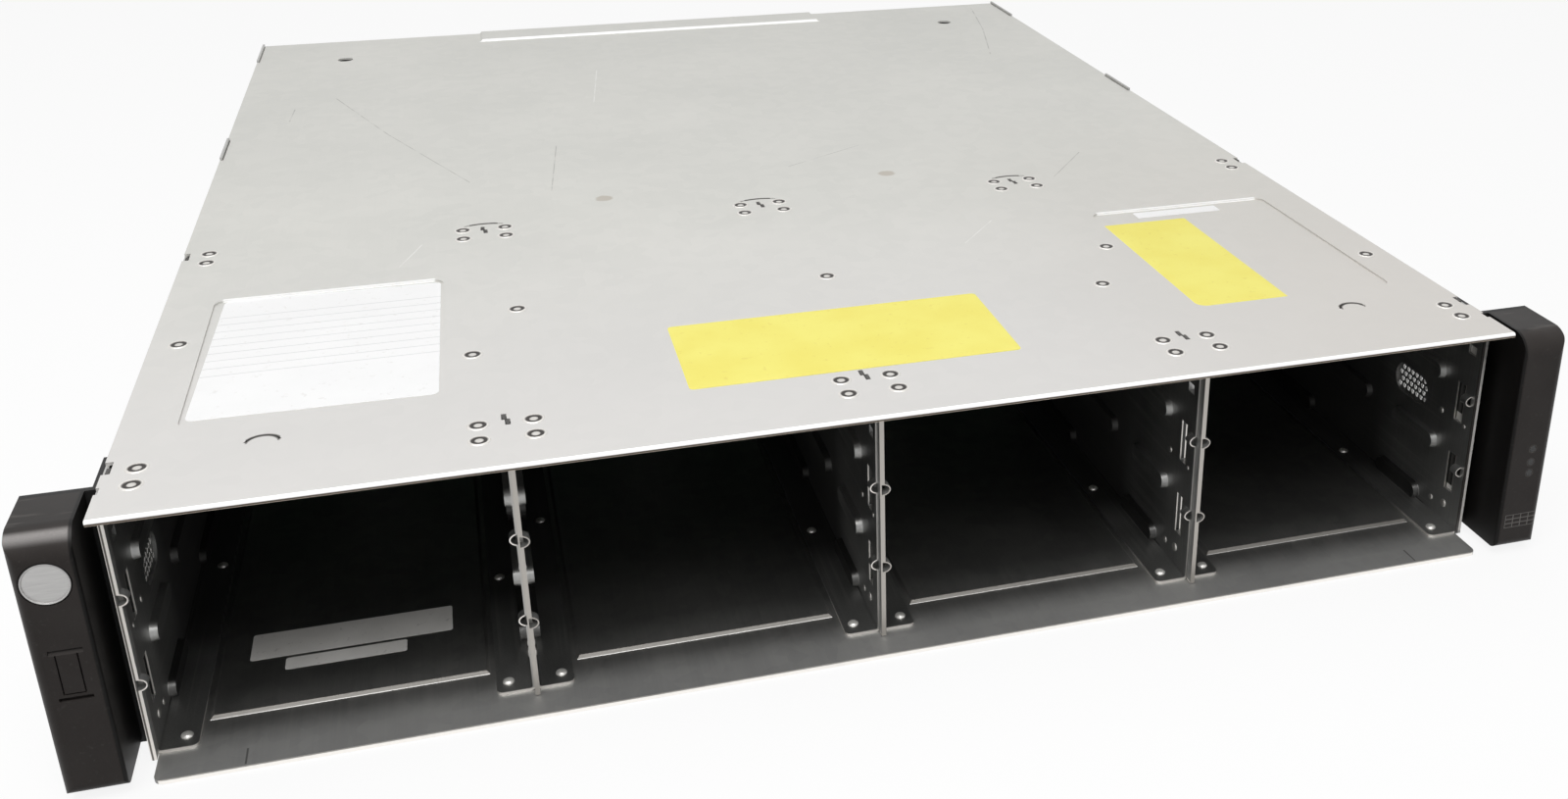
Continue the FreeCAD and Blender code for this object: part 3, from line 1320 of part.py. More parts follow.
save(base_tray(), "base_tray")
wall = side_wall()
save(mirrored(wall), "left_side_wall")
save(wall, "right_side_wall")
save(top_cover(), "top_cover")

places = [("left_wall_guide", -WALL_IN_X, guide_plate(True, True)),
          ("right_wall_guide", WALL_IN_X, mirrored(guide_plate(False, True)))]
left_facing = mirrored(guide_plate(False, False))
right_facing = guide_plate(True, False)
for number, x in enumerate(CROSS_X, 1):
    places.append(("divider_%d_left_guide" % number, x, left_facing))
    places.append(("divider_%d_right_guide" % number, x, right_facing))
for node, x, plate in places:
    save(plate.translated(V(x, 0, 0)), node)

save(midplane_bracket(), "midplane_bracket")
save(midplane_board(), "midplane_board")
save(midplane_screws(), "midplane_screws")
save(drive_connectors(), "drive_connectors")
save(module_connectors(), "module_connectors")
partition = bay_wall()
save(mirrored(partition), "left_bay_wall")
save(partition, "right_bay_wall")
save(controller_shelf(), "controller_shelf")

ear = rack_ear()
save(mirrored(ear), "left_rack_ear")
save(ear, "right_rack_ear")
save(left_ear_cap(), "left_ear_cap")
save(left_badge(), "left_badge")
save(right_ear_cap(), "right_ear_cap")
save(status_light_pipes(), "status_light_pipes")
save(status_board(), "status_board")

for level, letter in ((0, "a"), (1, "b")):
    name = "controller_" + letter
    save(controller_tray(level), name + "_tray")
    save(controller_board(level), name + "_board")
    save(controller_ports(level), name + "_ports")
    for side, word in ((-1, "left"), (1, "right")):
        save(controller_lever(level, side), name + "_" + word + "_lever")
        save(thumbscrew(level, side), name + "_" + word + "_thumbscrew")

power_pieces = [("case", psu_case()), ("lid", psu_lid()), ("fan_frame", psu_fan_frame()),
                ("fan_rotor", psu_fan_rotor()), ("fan_grille", psu_grille()), ("entry", psu_entry()),
                ("rocker", psu_rocker()), ("handle", psu_handle()), ("board", psu_board())]
for word, piece in power_pieces:
    save(mirrored(piece), "left_power_" + word)
    save(piece, "right_power_" + word)
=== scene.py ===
# %% [markdown]
# # A two-unit storage array, dressed for its portrait
# The object is a rack enclosure of bright zinc-plated sheet with twelve empty drive bays in front.
# Its structure comes ready as solids; this lesson gives every surface a finish and adds the small
# things that sit on the sheet: press-joint dimples, rivet domes, stickers, a badge, knurled screws.
# The solids are loaded first, because everything else is placed by them.

# %% Load the frame
import bpy
import bmesh
import numpy as np
from mathutils import Matrix, Vector


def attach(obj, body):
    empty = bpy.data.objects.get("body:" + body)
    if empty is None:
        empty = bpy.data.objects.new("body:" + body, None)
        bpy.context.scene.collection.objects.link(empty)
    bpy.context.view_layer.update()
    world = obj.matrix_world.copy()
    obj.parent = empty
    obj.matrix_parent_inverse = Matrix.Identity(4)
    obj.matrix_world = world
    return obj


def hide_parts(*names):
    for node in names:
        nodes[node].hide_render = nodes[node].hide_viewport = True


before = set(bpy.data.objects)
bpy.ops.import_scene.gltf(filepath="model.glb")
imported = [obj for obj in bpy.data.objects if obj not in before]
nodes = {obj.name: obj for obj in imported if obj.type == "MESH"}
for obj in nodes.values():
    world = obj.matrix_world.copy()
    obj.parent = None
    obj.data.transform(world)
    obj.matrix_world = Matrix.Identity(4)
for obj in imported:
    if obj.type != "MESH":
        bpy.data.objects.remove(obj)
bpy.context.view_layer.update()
MM = 0.001

# %% [markdown]
# ## Camera
# The portrait looks down over the left ear, with the far corner running off to the upper right.
# A camera could be aimed by eye. Here its three axes are written as columns of one matrix, which
# is the exact way to repeat a view: to the right, up, and back towards the photographer.
# The shift moves the frame sideways without turning the camera, as a cropped picture does.

# %% Camera
VIEW_RIGHT = (0.95591, -0.29361, 0.00503)
VIEW_UP = (0.10973, 0.37305, 0.9213)
VIEW_BACK = (-0.27238, -0.88013, 0.38882)
VIEW_PLACE = (-0.11113, -0.43172, 0.30296)
SENSOR = 36
FOCAL_LENGTH = 36.405
SHIFT_X = -0.1033
SHIFT_Y = -0.0547
NEAREST = 0.01

lens = bpy.data.cameras.new("portrait_lens")
lens.sensor_width = SENSOR
lens.lens = FOCAL_LENGTH
lens.shift_x = SHIFT_X
lens.shift_y = SHIFT_Y
lens.clip_start = NEAREST
camera = bpy.data.objects.new("portrait_camera", lens)
bpy.context.scene.collection.objects.link(camera)
axes = np.eye(4)
axes[:3, :4] = np.column_stack((VIEW_RIGHT, VIEW_UP, VIEW_BACK, VIEW_PLACE))
camera.matrix_world = Matrix(axes.tolist())
bpy.context.scene.camera = camera
bpy.context.scene.view_settings.view_transform = "Standard"
print("camera at", VIEW_PLACE, "lens", lens.lens)

# %% [markdown]
# ## Arithmetic on surfaces
# A finish is a sum of many small patterns, and wiring each Math node by hand hides the sum.
# This class wraps one output of a node, so that a pattern is written as an ordinary expression:
# `1 - wear * 0.5` adds the Math nodes it needs. Every other kind of node comes from `add`.

# %% Shader expressions
class Pattern:
    """One output socket of a node tree; arithmetic on it adds Math nodes."""

    def __init__(self, tree, socket=None):
        self.tree = tree
        self.socket = socket

    def add(self, kind, settings=None, inputs=None, output=0):
        """New node: settings first, then values or links of its inputs."""
        node = self.tree.nodes.new(kind)
        for key, value in (settings or {}).items():
            setattr(node, key, value)
        for key, value in (inputs or {}).items():
            if isinstance(value, Pattern):
                self.tree.links.new(value.socket, node.inputs[key])
            else:
                node.inputs[key].default_value = value
        return Pattern(self.tree, node.outputs[output])

    def math(self, operation, *terms):
        return self.add("ShaderNodeMath", {"operation": operation}, dict(enumerate(terms)))

    def __add__(self, other):
        return self.math("ADD", self, other)

    def __sub__(self, other):
        return self.math("SUBTRACT", self, other)

    def __rsub__(self, other):
        return self.math("SUBTRACT", other, self)

    def __mul__(self, other):
        return self.math("MULTIPLY", self, other)

    def __abs__(self):
        return self.math("ABSOLUTE", self)

    __radd__ = __add__
    __rmul__ = __mul__

    def over(self, other):
        """The larger of two masks."""
        return self.math("MAXIMUM", self, other)

    def within(self, other):
        """The smaller of two masks."""
        return self.math("MINIMUM", self, other)

    def step(self, low, high):
        """Mask that eases from 0 at low to 1 at high; low may be the larger of the two."""
        ends = {"Value": self, "From Min": low, "From Max": high}
        return self.add("ShaderNodeMapRange", {"interpolation_type": "SMOOTHSTEP"}, ends)

    def tint(self, colour, other):
        """Colour where the mask is 0, the other colour where it is 1."""
        return self.add("ShaderNodeMix", {"data_type": "RGBA"}, {0: self, 6: colour, 7: other}, 2)


def srgb(red, green, blue):
    """Linear colour of a tone as it is read off a screen, 0 to 255."""
    tone = np.array((red, green, blue)) / 255
    linear = np.where(tone <= 0.04045, tone / 12.92, ((tone + 0.055) / 1.055) ** 2.4)
    return (*linear.tolist(), 1.0)


print("zinc tone, linear:", [round(c, 3) for c in srgb(211, 210, 206)])

# %% [markdown]
# ## Light
# The portrait has two broad soft lights, on white: one above, and one in front and high up. The front
# one reaches just under the cover, so the lip is lit and the bays behind it fall dark.
# A white world alone would light the bays as well. So the world shows white to the camera and to
# reflections, but it lights surfaces gently and mostly from above.

# %% World and lamps
SKY_LOW = 0.03
SKY_HIGH = 0.36
SKY_FADE = (0.2, 1.0)
PANEL_AT = (-0.15, 0.42, 1.9)
PANEL_SIZE = (2.4, 2.4)
PANEL_POWER = 13.5
FRONT_AT = (-0.25, -0.58, 1.1)
FRONT_SIZE = (1.2, 0.55)
FRONT_POWER = 9.7
AIM_AT = (0.0, -0.01, 0.05)


def looked_at(start):
    """1 for rays of the camera, of reflections and through clear plastic; 0 for light on things."""
    kinds = ("Is Camera Ray", "Is Glossy Ray", "Is Transmission Ray")
    seen, glossy, through = [start.add("ShaderNodeLightPath", output=kind) for kind in kinds]
    return seen.over(glossy).over(through)


def soft_lamp(name, place, size, power):
    """Rectangular lamp at a place, turned towards the front of the enclosure."""
    light = bpy.data.lights.new(name, "AREA")
    light.shape = "RECTANGLE"
    light.size, light.size_y = size
    light.energy = power
    lamp = bpy.data.objects.new(name, light)
    way = Vector(AIM_AT) - Vector(place)
    lamp.matrix_world = Matrix.Translation(place) @ way.to_track_quat("-Z", "Y").to_matrix().to_4x4()
    bpy.context.scene.collection.objects.link(lamp)
    print(name, size, "m at", place)


world = bpy.data.worlds.new("studio")
world.use_nodes = True
bpy.context.scene.world = world
start = Pattern(world.node_tree)
sky = start.add("ShaderNodeTexCoord", output="Generated")
height = start.add("ShaderNodeSeparateXYZ", inputs={0: sky}, output="Z")
level = SKY_LOW + (SKY_HIGH - SKY_LOW) * height.step(*SKY_FADE)
shown = looked_at(start)
backdrop = world.node_tree.nodes["Background"]
backdrop.inputs["Color"].default_value = (1, 1, 1, 1)
strength = shown + (1 - shown) * level
world.node_tree.links.new(strength.socket, backdrop.inputs["Strength"])
soft_lamp("overhead_panel", PANEL_AT, PANEL_SIZE, PANEL_POWER)
soft_lamp("front_panel", FRONT_AT, FRONT_SIZE, FRONT_POWER)
print("sky", SKY_LOW, "to", SKY_HIGH)

# %% [markdown]
# ## Floor
# A sheet of white paper would do in a studio. Here the floor is white where it is looked at, and dark
# grey where it would throw light back into the bays. It lies a hair below the sheet and is clear from
# beneath, like a glass table, so that the underside can be looked at too.

# %% Floor
FLOOR_GLOW = 0.88
FLOOR_BOUNCE = 0.1
FLOOR_DROP = -0.2 * MM
FLOOR_REACH = 6.0

floor_mesh = bpy.data.meshes.new("studio_floor")
turns = ((-1, -1), (1, -1), (1, 1), (-1, 1))
corners = [(FLOOR_REACH * right, FLOOR_REACH * back, FLOOR_DROP) for right, back in turns]
floor_mesh.from_pydata(corners, [], [(0, 1, 2, 3)])
floor = bpy.data.objects.new("studio_floor", floor_mesh)
bpy.context.scene.collection.objects.link(floor)
paint = bpy.data.materials.new("floor_paint")
paint.use_nodes = True
paint.node_tree.nodes.remove(paint.node_tree.nodes["Principled BSDF"])
start = Pattern(paint.node_tree)
matt = start.add("ShaderNodeBsdfDiffuse", inputs={"Color": (1, 1, 1, 1)})
dim = start.add("ShaderNodeBsdfDiffuse", inputs={"Color": (*[FLOOR_BOUNCE] * 3, 1)})
glow = start.add("ShaderNodeEmission", inputs={"Color": (1, 1, 1, 1)})
pale = start.add("ShaderNodeMixShader", inputs={0: FLOOR_GLOW, 1: matt, 2: glow})
both = start.add("ShaderNodeMixShader", inputs={0: looked_at(start), 1: dim, 2: pale})
beneath = start.add("ShaderNodeNewGeometry", output="Backfacing")
clear = start.add("ShaderNodeBsdfTransparent")
both = start.add("ShaderNodeMixShader", inputs={0: beneath, 1: both, 2: clear})
outlet = paint.node_tree.nodes["Material Output"]
paint.node_tree.links.new(both.socket, outlet.inputs["Surface"])
floor_mesh.materials.append(paint)
print("floor", 2 * FLOOR_REACH, "m wide")

# %% [markdown]
# ## A finish and the point it is asked about
# Every finish starts from the same three things: a material, the point of the surface in
# millimetres, and noise at a chosen grain size. The point is read in Object coordinates, and since
# all the pieces sit at the origin, a number in millimetres here is a place on the real enclosure.

# %% Starting a finish
def new_finish(name, **constants):
    """Material with constant inputs set, a first pattern, the point, and the point's x, y and z."""
    material = bpy.data.materials.new(name)
    material.use_nodes = True
    shader = material.node_tree.nodes["Principled BSDF"]
    for socket, value in constants.items():
        shader.inputs[socket.replace("_", " ")].default_value = value
    start = Pattern(material.node_tree)
    spot = start.add("ShaderNodeTexCoord", output="Object")
    spot = start.add("ShaderNodeVectorMath", {"operation": "SCALE"}, {0: spot, "Scale": 1 / MM})
    part = {axis: start.add("ShaderNodeSeparateXYZ", inputs={0: spot}, output=axis) for axis in "XYZ"}
    return material, start, spot, part["X"], part["Y"], part["Z"]


def grain(spot, size, detail=3.0, stretch=(1, 1, 1)):
    """Noise from 0 to 1 whose blotches are about size millimetres wide, drawn out by stretch."""
    scaled = spot.add("ShaderNodeVectorMath", {"operation": "DIVIDE"}, {0: spot, 1: stretch})
    inputs = {"Vector": scaled, "Scale": 1 / size, "Detail": detail}
    return spot.add("ShaderNodeTexNoise", inputs=inputs)


def wire_up(material, **links):
    """Joins varying patterns to the shader's inputs."""
    shader = material.node_tree.nodes["Principled BSDF"]
    for socket, pattern in links.items():
        material.node_tree.links.new(pattern.socket, shader.inputs[socket.replace("_", " ")])


def relief(height, depth, strength):
    """Bump from a height pattern; depth is its full height in millimetres."""
    inputs = {"Height": height, "Distance": depth * MM, "Strength": strength}
    return height.add("ShaderNodeBump", inputs=inputs)


def band(value, low, high, soft):
    """Mask that is 1 between low and high with edges soft wide."""
    return value.step(low - soft, low).within(value.step(high + soft, high))


print("finish helpers ready")

# %% [markdown]
# ## Zinc on the cover
# The cover is zinc-plated steel: a pale warm grey, dulled by age, with soft clouds and a fine grain
# drawn along its length. Zinc is a metal, but an old plated sheet scatters most light, so it is only
# partly metallic. One flat colour would do for a toy; three patterns of different size keep the sheet
# alive. It is painted a shade paler towards the front as painted light, and it is warmer to the right.

# %% Cover tone
CLOUD_SIZE = 90
DRAWN_SIZE = 0.8
DRAWN_STRETCH = (1, 40, 1)
COVER_SPANGLE = 0.16
LIT_FRONT_Y = (220, 0)
WARMER_X = (40, 200)
WARMER_Y = (330, 60)


def spangles(spot, scale):
    """Crystals of the zinc: a random grey for each cell."""
    cells = spot.add("ShaderNodeTexVoronoi", inputs={"Vector": spot, "Scale": scale}, output="Color")
    return spot.add("ShaderNodeSeparateColor", inputs={0: cells})


cover_zinc, _, spot, x, y, z = new_finish("cover_zinc", IOR=1.6)
clouds = grain(spot, CLOUD_SIZE, 4)
drawn = grain(spot, DRAWN_SIZE, 2, DRAWN_STRETCH)
spangle = spangles(spot, COVER_SPANGLE)
tone = 0.55 * clouds + 0.15 * drawn + 0.12 * spangle
colour = tone.step(0.1, 0.75).tint(srgb(204, 204, 199), srgb(217, 216, 211))
# Painted light: the front of the sheet is painted paler, as if more light fell there.
colour = (y.step(*LIT_FRONT_Y) * 0.5).tint(colour, srgb(217, 214, 214))
warmer = x.step(*WARMER_X) * y.step(*WARMER_Y)
colour = (warmer * 0.5).tint(colour, srgb(206, 201, 194))
print("cover tone:", len(cover_zinc.node_tree.nodes), "nodes")

# %% [markdown]
# ## Scratches, stains and slits
# Sliding in and out of racks has left a few scratches, dark or bright, and two spots have gone brown.
# A scratch could be painted by hand. Here it is the distance from the point to a short line: the nearest
# place along the line, then the length to it. Beside the curved slits a dark band of painted shade lies
# on the sheet.

# %% Cover wear
SCRATCHES = [((-176, 414), (-150, 340), 0.35, -1), ((-150, 340), (-115, 254), 0.3, -1),
             ((-195, 398), (-196, 376), 0.4, -1), ((-75, 299), (-82, 232), 0.3, -1),
             ((-43, 437), (-51, 370), 0.3, 1), ((204, 536), (192, 475), 0.4, -1),
             ((192, 475), (175, 409), 0.4, -1), ((60, 261), (22, 238), 0.3, -1),
             ((155, 222), (131, 191), 0.3, -1), ((86, 144), (68, 122), 0.3, 1),
             ((-143, 157), (-135, 179), 0.3, 1)]
BROWN_SPOTS = [(-61.5, 216.2, 3.4), (61.5, 216.2, 3.4)]
MOONS = [(-180.0, 20.0, 5.0, 4.6), (180.0, 20.0, 5.0, 4.6)]
PLATE_LINES = (-220.5, -111.3, 0.0, 111.3, 220.5)
TAB_SLITS = [(line, 179.5, 18.0, 5.3) for line in PLATE_LINES[1:-1]]
SLIT_SHADE = 0.7


def flat_on_cover(spot):
    """The point with its height taken away."""
    return spot.add("ShaderNodeVectorMath", {"operation": "MULTIPLY"}, {0: spot, 1: (1, 1, 0)})


def scratch(spot, start, end, width):
    """Mask of a thin line from start to end on the cover, in millimetres."""
    a = np.array((*start, 0.0))
    along = np.array((*end, 0.0)) - a
    away = {0: flat_on_cover(spot), 1: a.tolist()}
    away = spot.add("ShaderNodeVectorMath", {"operation": "SUBTRACT"}, away)
    share = {0: away, 1: (along / (along @ along)).tolist()}
    share = spot.add("ShaderNodeVectorMath", {"operation": "DOT_PRODUCT"}, share, "Value")
    share = spot.add("ShaderNodeClamp", inputs={"Value": share})
    foot = {0: along.tolist(), "Scale": share}
    foot = spot.add("ShaderNodeVectorMath", {"operation": "SCALE"}, foot)
    gap = {0: away, 1: foot}
    gap = spot.add("ShaderNodeVectorMath", {"operation": "DISTANCE"}, gap, "Value")
    return gap.step(width, width * 0.4)


def from_centre(spot, x, y):
    """Distance on the cover from the place x, y."""
    ends = {0: flat_on_cover(spot), 1: (x, y, 0)}
    return spot.add("ShaderNodeVectorMath", {"operation": "DISTANCE"}, ends, "Value")


def scratches(spot, wanted):
    """All scratches of one kind, -1 dark and 1 bright, broken up by noise."""
    lines = None
    for begin, end, width, kind in SCRATCHES:
        if kind == wanted:
            line = scratch(spot, begin, end, width) * grain(spot, 9).step(0.3, 0.6)
            lines = line if lines is None else lines.over(line)
    return lines


bright_lines = scratches(spot, 1)
colour = (scratches(spot, -1) * 0.55).tint(colour, srgb(140, 138, 134))
colour = (bright_lines * 0.6).tint(colour, srgb(240, 240, 238))
for place_x, place_y, radius in BROWN_SPOTS:
    ring = from_centre(spot, place_x, place_y) + grain(spot, 3) * 2 - 1
    colour = (ring.step(radius + 0.8, radius - 0.6) * 0.55).tint(colour, srgb(168, 156, 140))
# Painted shade: a dark band along each curved slit.
for place_x, place_y, radius, reach in MOONS + TAB_SLITS:
    painted_slit_shade = band(from_centre(spot, place_x, place_y), radius - SLIT_SHADE, radius + SLIT_SHADE, 0.2)
    painted_slit_shade = painted_slit_shade.within(y.step(place_y, place_y + 1.0)).within(abs(x - place_x).step(reach + 0.3, reach))
    colour = (painted_slit_shade * 0.75).tint(colour, srgb(70, 66, 62))
print("cover wear:", len(SCRATCHES), "scratches,", len(MOONS + TAB_SLITS), "slits")

# %% [markdown]
# ## Hem and inside of the cover
# The front edge of the cover is folded back under itself. What shows is a crown painted bright as a
# painted highlight, a seam painted dark as painted shade, and the fold below it. The rear wall of each
# label recess and the slope of the crest are painted bright as painted highlights. The side that looks
# into the bays is painted darker as painted shade, and it is still metallic.

# %% Cover hem
HEM_Y = (-13.9, -14.2)
CROWN_HIGHLIGHT_Z = (86.35, 86.55)
SEAM_SHADE_Z = (85.9, 86.4)
FOLD_Z = (85.9, 85.8)
RECESS_WALL_Y = (139.7, 141.0)
RECESS_X = (131, 202)
CREST_SLOPE_Y = (523.7, 525.1)
CREST_X = (0, 101.4)
INSIDE_Z = (86.45, 86.35)
INSIDE_Y = (-10.0, -9.0)

hem = y.step(*HEM_Y)
crown_highlight = hem.within(z.step(*CROWN_HIGHLIGHT_Z))
seam_shade = hem.within(band(z, *SEAM_SHADE_Z, 0.08))
fold = hem.within(z.step(*FOLD_Z))
# Painted highlight on the crown, painted shade on the seam.
colour = crown_highlight.tint(colour, srgb(250, 250, 249))
colour = seam_shade.tint(colour, srgb(112, 100, 88))
colour = fold.tint(colour, srgb(226, 214, 198))
# Painted highlights: the rear wall of each label recess and the slope of the crest are painted near
# white.
recess_wall_highlight = band(y, *RECESS_WALL_Y, 0.2).within(band(abs(x), *RECESS_X, 1.0))
crest_slope_highlight = band(y, *CREST_SLOPE_Y, 0.15).within(band(abs(x), *CREST_X, 0.4))
colour = recess_wall_highlight.over(crest_slope_highlight).tint(colour, srgb(252, 252, 251))
# Painted shade: the side of the cover over the bays is painted darker.
inside_shade = z.step(*INSIDE_Z).within(y.step(*INSIDE_Y))
colour = (inside_shade * 0.6).tint(colour, srgb(120, 120, 118))
metal = 0.35 + 0.5 * crown_highlight.over(fold).over(inside_shade)
rough = 0.46 + 0.14 * clouds + 0.1 * drawn - 0.12 * bright_lines
bumps = relief(drawn * 0.5 + spangle * 0.5, 0.02, 0.25)
wire_up(cover_zinc, Base_Color=colour, Metallic=metal, Roughness=rough, Normal=bumps)
print("cover finish:", len(cover_zinc.node_tree.nodes), "nodes")

# %% [markdown]
# ## Zinc on the base, walls and rear bays
# The same sheet, but never handled inside: there it is still a mirror-like metal and so it looks dark,
# because it shows the dark bay. The front lip is dulled by the drives that were pushed over it and
# scatters light, and so does the outside.

# %% Shell tone
SHELL_CLOUD = 60
SHELL_SPANGLE = 0.2
RUBBED_Y = (-14.5, -6.0)
DULLED_Y = (9.0, -9.0)
FLOOR_TOP = (3.0, 2.4)
OUTER_X = (220.9, 221.3)
OUTER_Y = (540.0, 545.0)

shell_zinc, _, spot, x, y, z = new_finish("shell_zinc", IOR=1.6)
clouds = grain(spot, SHELL_CLOUD, 4)
drawn = grain(spot, DRAWN_SIZE, 2, DRAWN_STRETCH)
spangle = spangles(spot, SHELL_SPANGLE)
tone = 0.5 * clouds + 0.25 * drawn + 0.16 * spangle
colour = tone.step(0.1, 0.8).tint(srgb(166, 166, 165), srgb(196, 195, 192))
rubbed = band(y, *RUBBED_Y, 2.0) * grain(spot, 14, 4, (4, 1, 1)).step(0.5, 0.75)
colour = (rubbed * 0.3).tint(colour, srgb(214, 213, 210))
dulled = y.step(*DULLED_Y).within(z.step(*FLOOR_TOP))
outer = abs(x).step(*OUTER_X).over(y.step(*OUTER_Y))
colour = (dulled * 0.55).tint(colour, srgb(128, 128, 127))
print("shell tone:", len(shell_zinc.node_tree.nodes), "nodes")

# %% [markdown]
# ## Edges, pans and painted light and shade of the shell
# The cut edges of the lip and of the walls are painted bright as painted highlights. The pressed front
# edges of the floor pans are a plain grey, and the pans are painted darker further back as painted
# shade.
# Two short marks are scribed on the lip. Behind the windows of the guides the wall is painted dark as
# painted shade, and on the right it is painted pale at three heights as painted light seen through the
# windows. All of these could be pieces of their own; as masks they cannot come loose.

# %% Shell edges
LIP_EDGE_Y = -14.6
WALL_EDGE_Y = (-1.2, -1.4)
PAN_EDGE = (10.9, 12.2)
PAN_Y = (12.0, 28.0)
PAN_END_Y = (300.0, 260.0)
PAN_HEIGHT = (1.1, 2.4)
TICK_X = 194.8
TICK_Y = (-13.5, -6.5)
LIGHT_PATCH_ROWS = ((15.3, 17.0), (43.5, 46.6), (70.4, 75.0))
LIGHT_PATCH_Y = (2.5, 9.5)
WALL_FACE_X = (220.4, 220.6)
WALL_FACE_Y = (-1.0, 14.0)

# Painted highlights: the front edge of the lip and the front edges of the walls are painted near white.
lip_edge_highlight = y.step(LIP_EDGE_Y + 0.3, LIP_EDGE_Y).within(z.step(3.0, 2.0))
wall_edge = y.step(*WALL_EDGE_Y).within(z.step(2.0, 2.6))
ridge = band(y, *PAN_EDGE, 0.3).within(z.step(1.25, 1.4))
colour = lip_edge_highlight.over(wall_edge).tint(colour, srgb(250, 247, 242))
colour = ridge.tint(colour, srgb(118, 115, 110))
# Painted shade: the floor pans are painted darker deeper in the bays.
bay_floor_shade = band(z, *PAN_HEIGHT, 0.2).within(y.step(*PAN_Y)).within(y.step(*PAN_END_Y))
colour = (bay_floor_shade * 0.4).tint(colour, srgb(70, 70, 69))
ticks = abs(abs(x) - TICK_X).step(0.4, 0.15).within(band(y, *TICK_Y, 0.5)).within(z.step(2.0, 1.5))
colour = (ticks * 0.7).tint(colour, srgb(62, 61, 60))
low, middle, high = [band(z, *row, 0.2) for row in LIGHT_PATCH_ROWS]
# Painted shade: the wall behind the windows of the guides is painted dark.
behind_window_shade = band(abs(x), *WALL_FACE_X, 0.1).within(band(y, *WALL_FACE_Y, 0.1)).within(z.step(2.6, 3.0))
colour = (behind_window_shade * 0.9).tint(colour, srgb(44, 44, 43))
# Painted light: on the right wall three pale patches behind the windows, as light seen through them.
window_light_patches = low.over(middle).over(high).within(band(y, *LIGHT_PATCH_Y, 0.2)).within(behind_window_shade).within(x.step(0, 1))
colour = window_light_patches.tint(colour, srgb(236, 233, 228))
dull = 0.38 * dulled + 0.5 * outer.over(ridge) + 0.85 * wall_edge.over(window_light_patches)
metal = lip_edge_highlight.over(0.97 - dull).over(0.05)
rough = 0.34 + 0.12 * clouds + 0.08 * drawn + 0.14 * dulled.over(outer)
bumps = relief(drawn * 0.5 + spangle * 0.5, 0.02, 0.3)
wire_up(shell_zinc, Base_Color=colour, Metallic=metal, Roughness=rough, Normal=bumps)
print("shell finish:", len(shell_zinc.node_tree.nodes), "nodes")

# %% [markdown]
# ## Guide plates
# The drive guides are thinner stamped sheet, dark and mirror-like on their faces and scuffed along the
# rails, where carriers slide. Deep in the bay the sheet is rougher and painted darker as painted shade,
# and the lowest rail is painted dark as painted shade.
# The distance to the nearest plate tells a plate's own sheet from what stands out of it.

# %% Guide tone
SLID_Y = (8, 24)
DEEP_Y = (30, 60)
PROUD = (1.0, 1.1)
LOW_RAIL_TOP = (15.0, 13.5)
LOW_RAIL_FOOT = (2.3, 2.5)
LOW_RAIL_Y = (18, 22)

guide_zinc, _, spot, x, y, z = new_finish("guide_zinc", IOR=1.6)
clouds = grain(spot, 25, 4)
drawn = grain(spot, 0.6, 2, (1, 1, 30))
slid = grain(spot, 1.2, 3, (1, 60, 1))
tone = 0.5 * clouds + 0.3 * drawn
colour = tone.step(0.15, 0.7).tint(srgb(150, 150, 149), srgb(186, 186, 184))
colour = (slid.step(0.52, 0.7) * y.step(*SLID_Y) * 0.4).tint(colour, srgb(204, 203, 200))
# Painted shade: the sheet is painted darker deeper in the bay, and it is also rougher there.
deep = y.step(*DEEP_Y)
colour = (deep * 0.85).tint(colour, srgb(58, 57, 56))
off = abs(x - PLATE_LINES[0])
for line in PLATE_LINES[1:]:
    off = off.within(abs(x - line))
# Painted shade on the lowest rail.
low_rail_shade = z.step(*LOW_RAIL_TOP).within(off.step(*PROUD)).within(z.step(*LOW_RAIL_FOOT))
low_rail_shade = low_rail_shade.within(y.step(*LOW_RAIL_Y))
colour = (low_rail_shade * 0.8).tint(colour, srgb(60, 59, 58))
print("guide tone:", len(guide_zinc.node_tree.nodes), "nodes")

# %% [markdown]
# ## Edges of the guide plates
# What the press has cut is painted bright as painted highlights: the arches, the sides of the windows,
# the rims of the feet, the nose at the far left and, faintly, the front edges of the plates. The other
# noses are painted a plain grey. The tops of the tabs are painted dark as painted shade, and the front
# edge of the plate at the far right is dark. The rear side of each window is painted dark as painted
# shade.
# Each is a short stretch along y and z, the same on every plate, so one mask serves all.

# %% Guide edges
NOSE_Y = -4.8
PLATE_Y = -1.5
WALL_ARCH_Y = 0.9
RIGHT_PLATE_X = (218.9, 219.2)
LEFT_PLATE_X = (-217.0, -218.0)
LEFT_SEAM_X = (-220.75, -220.35)
ARCH_ROWS = (10, 80)
WINDOW_Z = (15.3, 30.5)
WINDOW_Y = (4.6, 9.0)
BURR = 0.3
ROW_PITCH = 28.5
FOOT_Z = 2.2
RIM_Y = (30, 10)
TAB_Z = (86.9, 87.2)

nose_edge = y.step(NOSE_Y + 0.3, NOSE_Y + 0.15)
plate_edge = band(y, PLATE_Y - 0.1, PLATE_Y + BURR, 0.1)
wall_edge = plate_edge.within(x.step(*RIGHT_PLATE_X))
arch_edge = abs(y - PLATE_Y).within(abs(y - WALL_ARCH_Y)).step(0.08, 0.04)
arch_edge = arch_edge.within(off.step(1.02, 1.1)).within(band(z, *ARCH_ROWS, 1))
rims = z.step(FOOT_Z - 0.02, FOOT_Z - 0.12).within(y.step(*RIM_Y))
tab_shade = z.step(*TAB_Z)
rows = band(z, *WINDOW_Z, 0.1).over(band(z - ROW_PITCH, *WINDOW_Z, 0.1))
front_side = band(y, WINDOW_Y[0] - BURR, WINDOW_Y[0], 0.05)
rear_side = band(y, WINDOW_Y[1], WINDOW_Y[1] + BURR, 0.05)
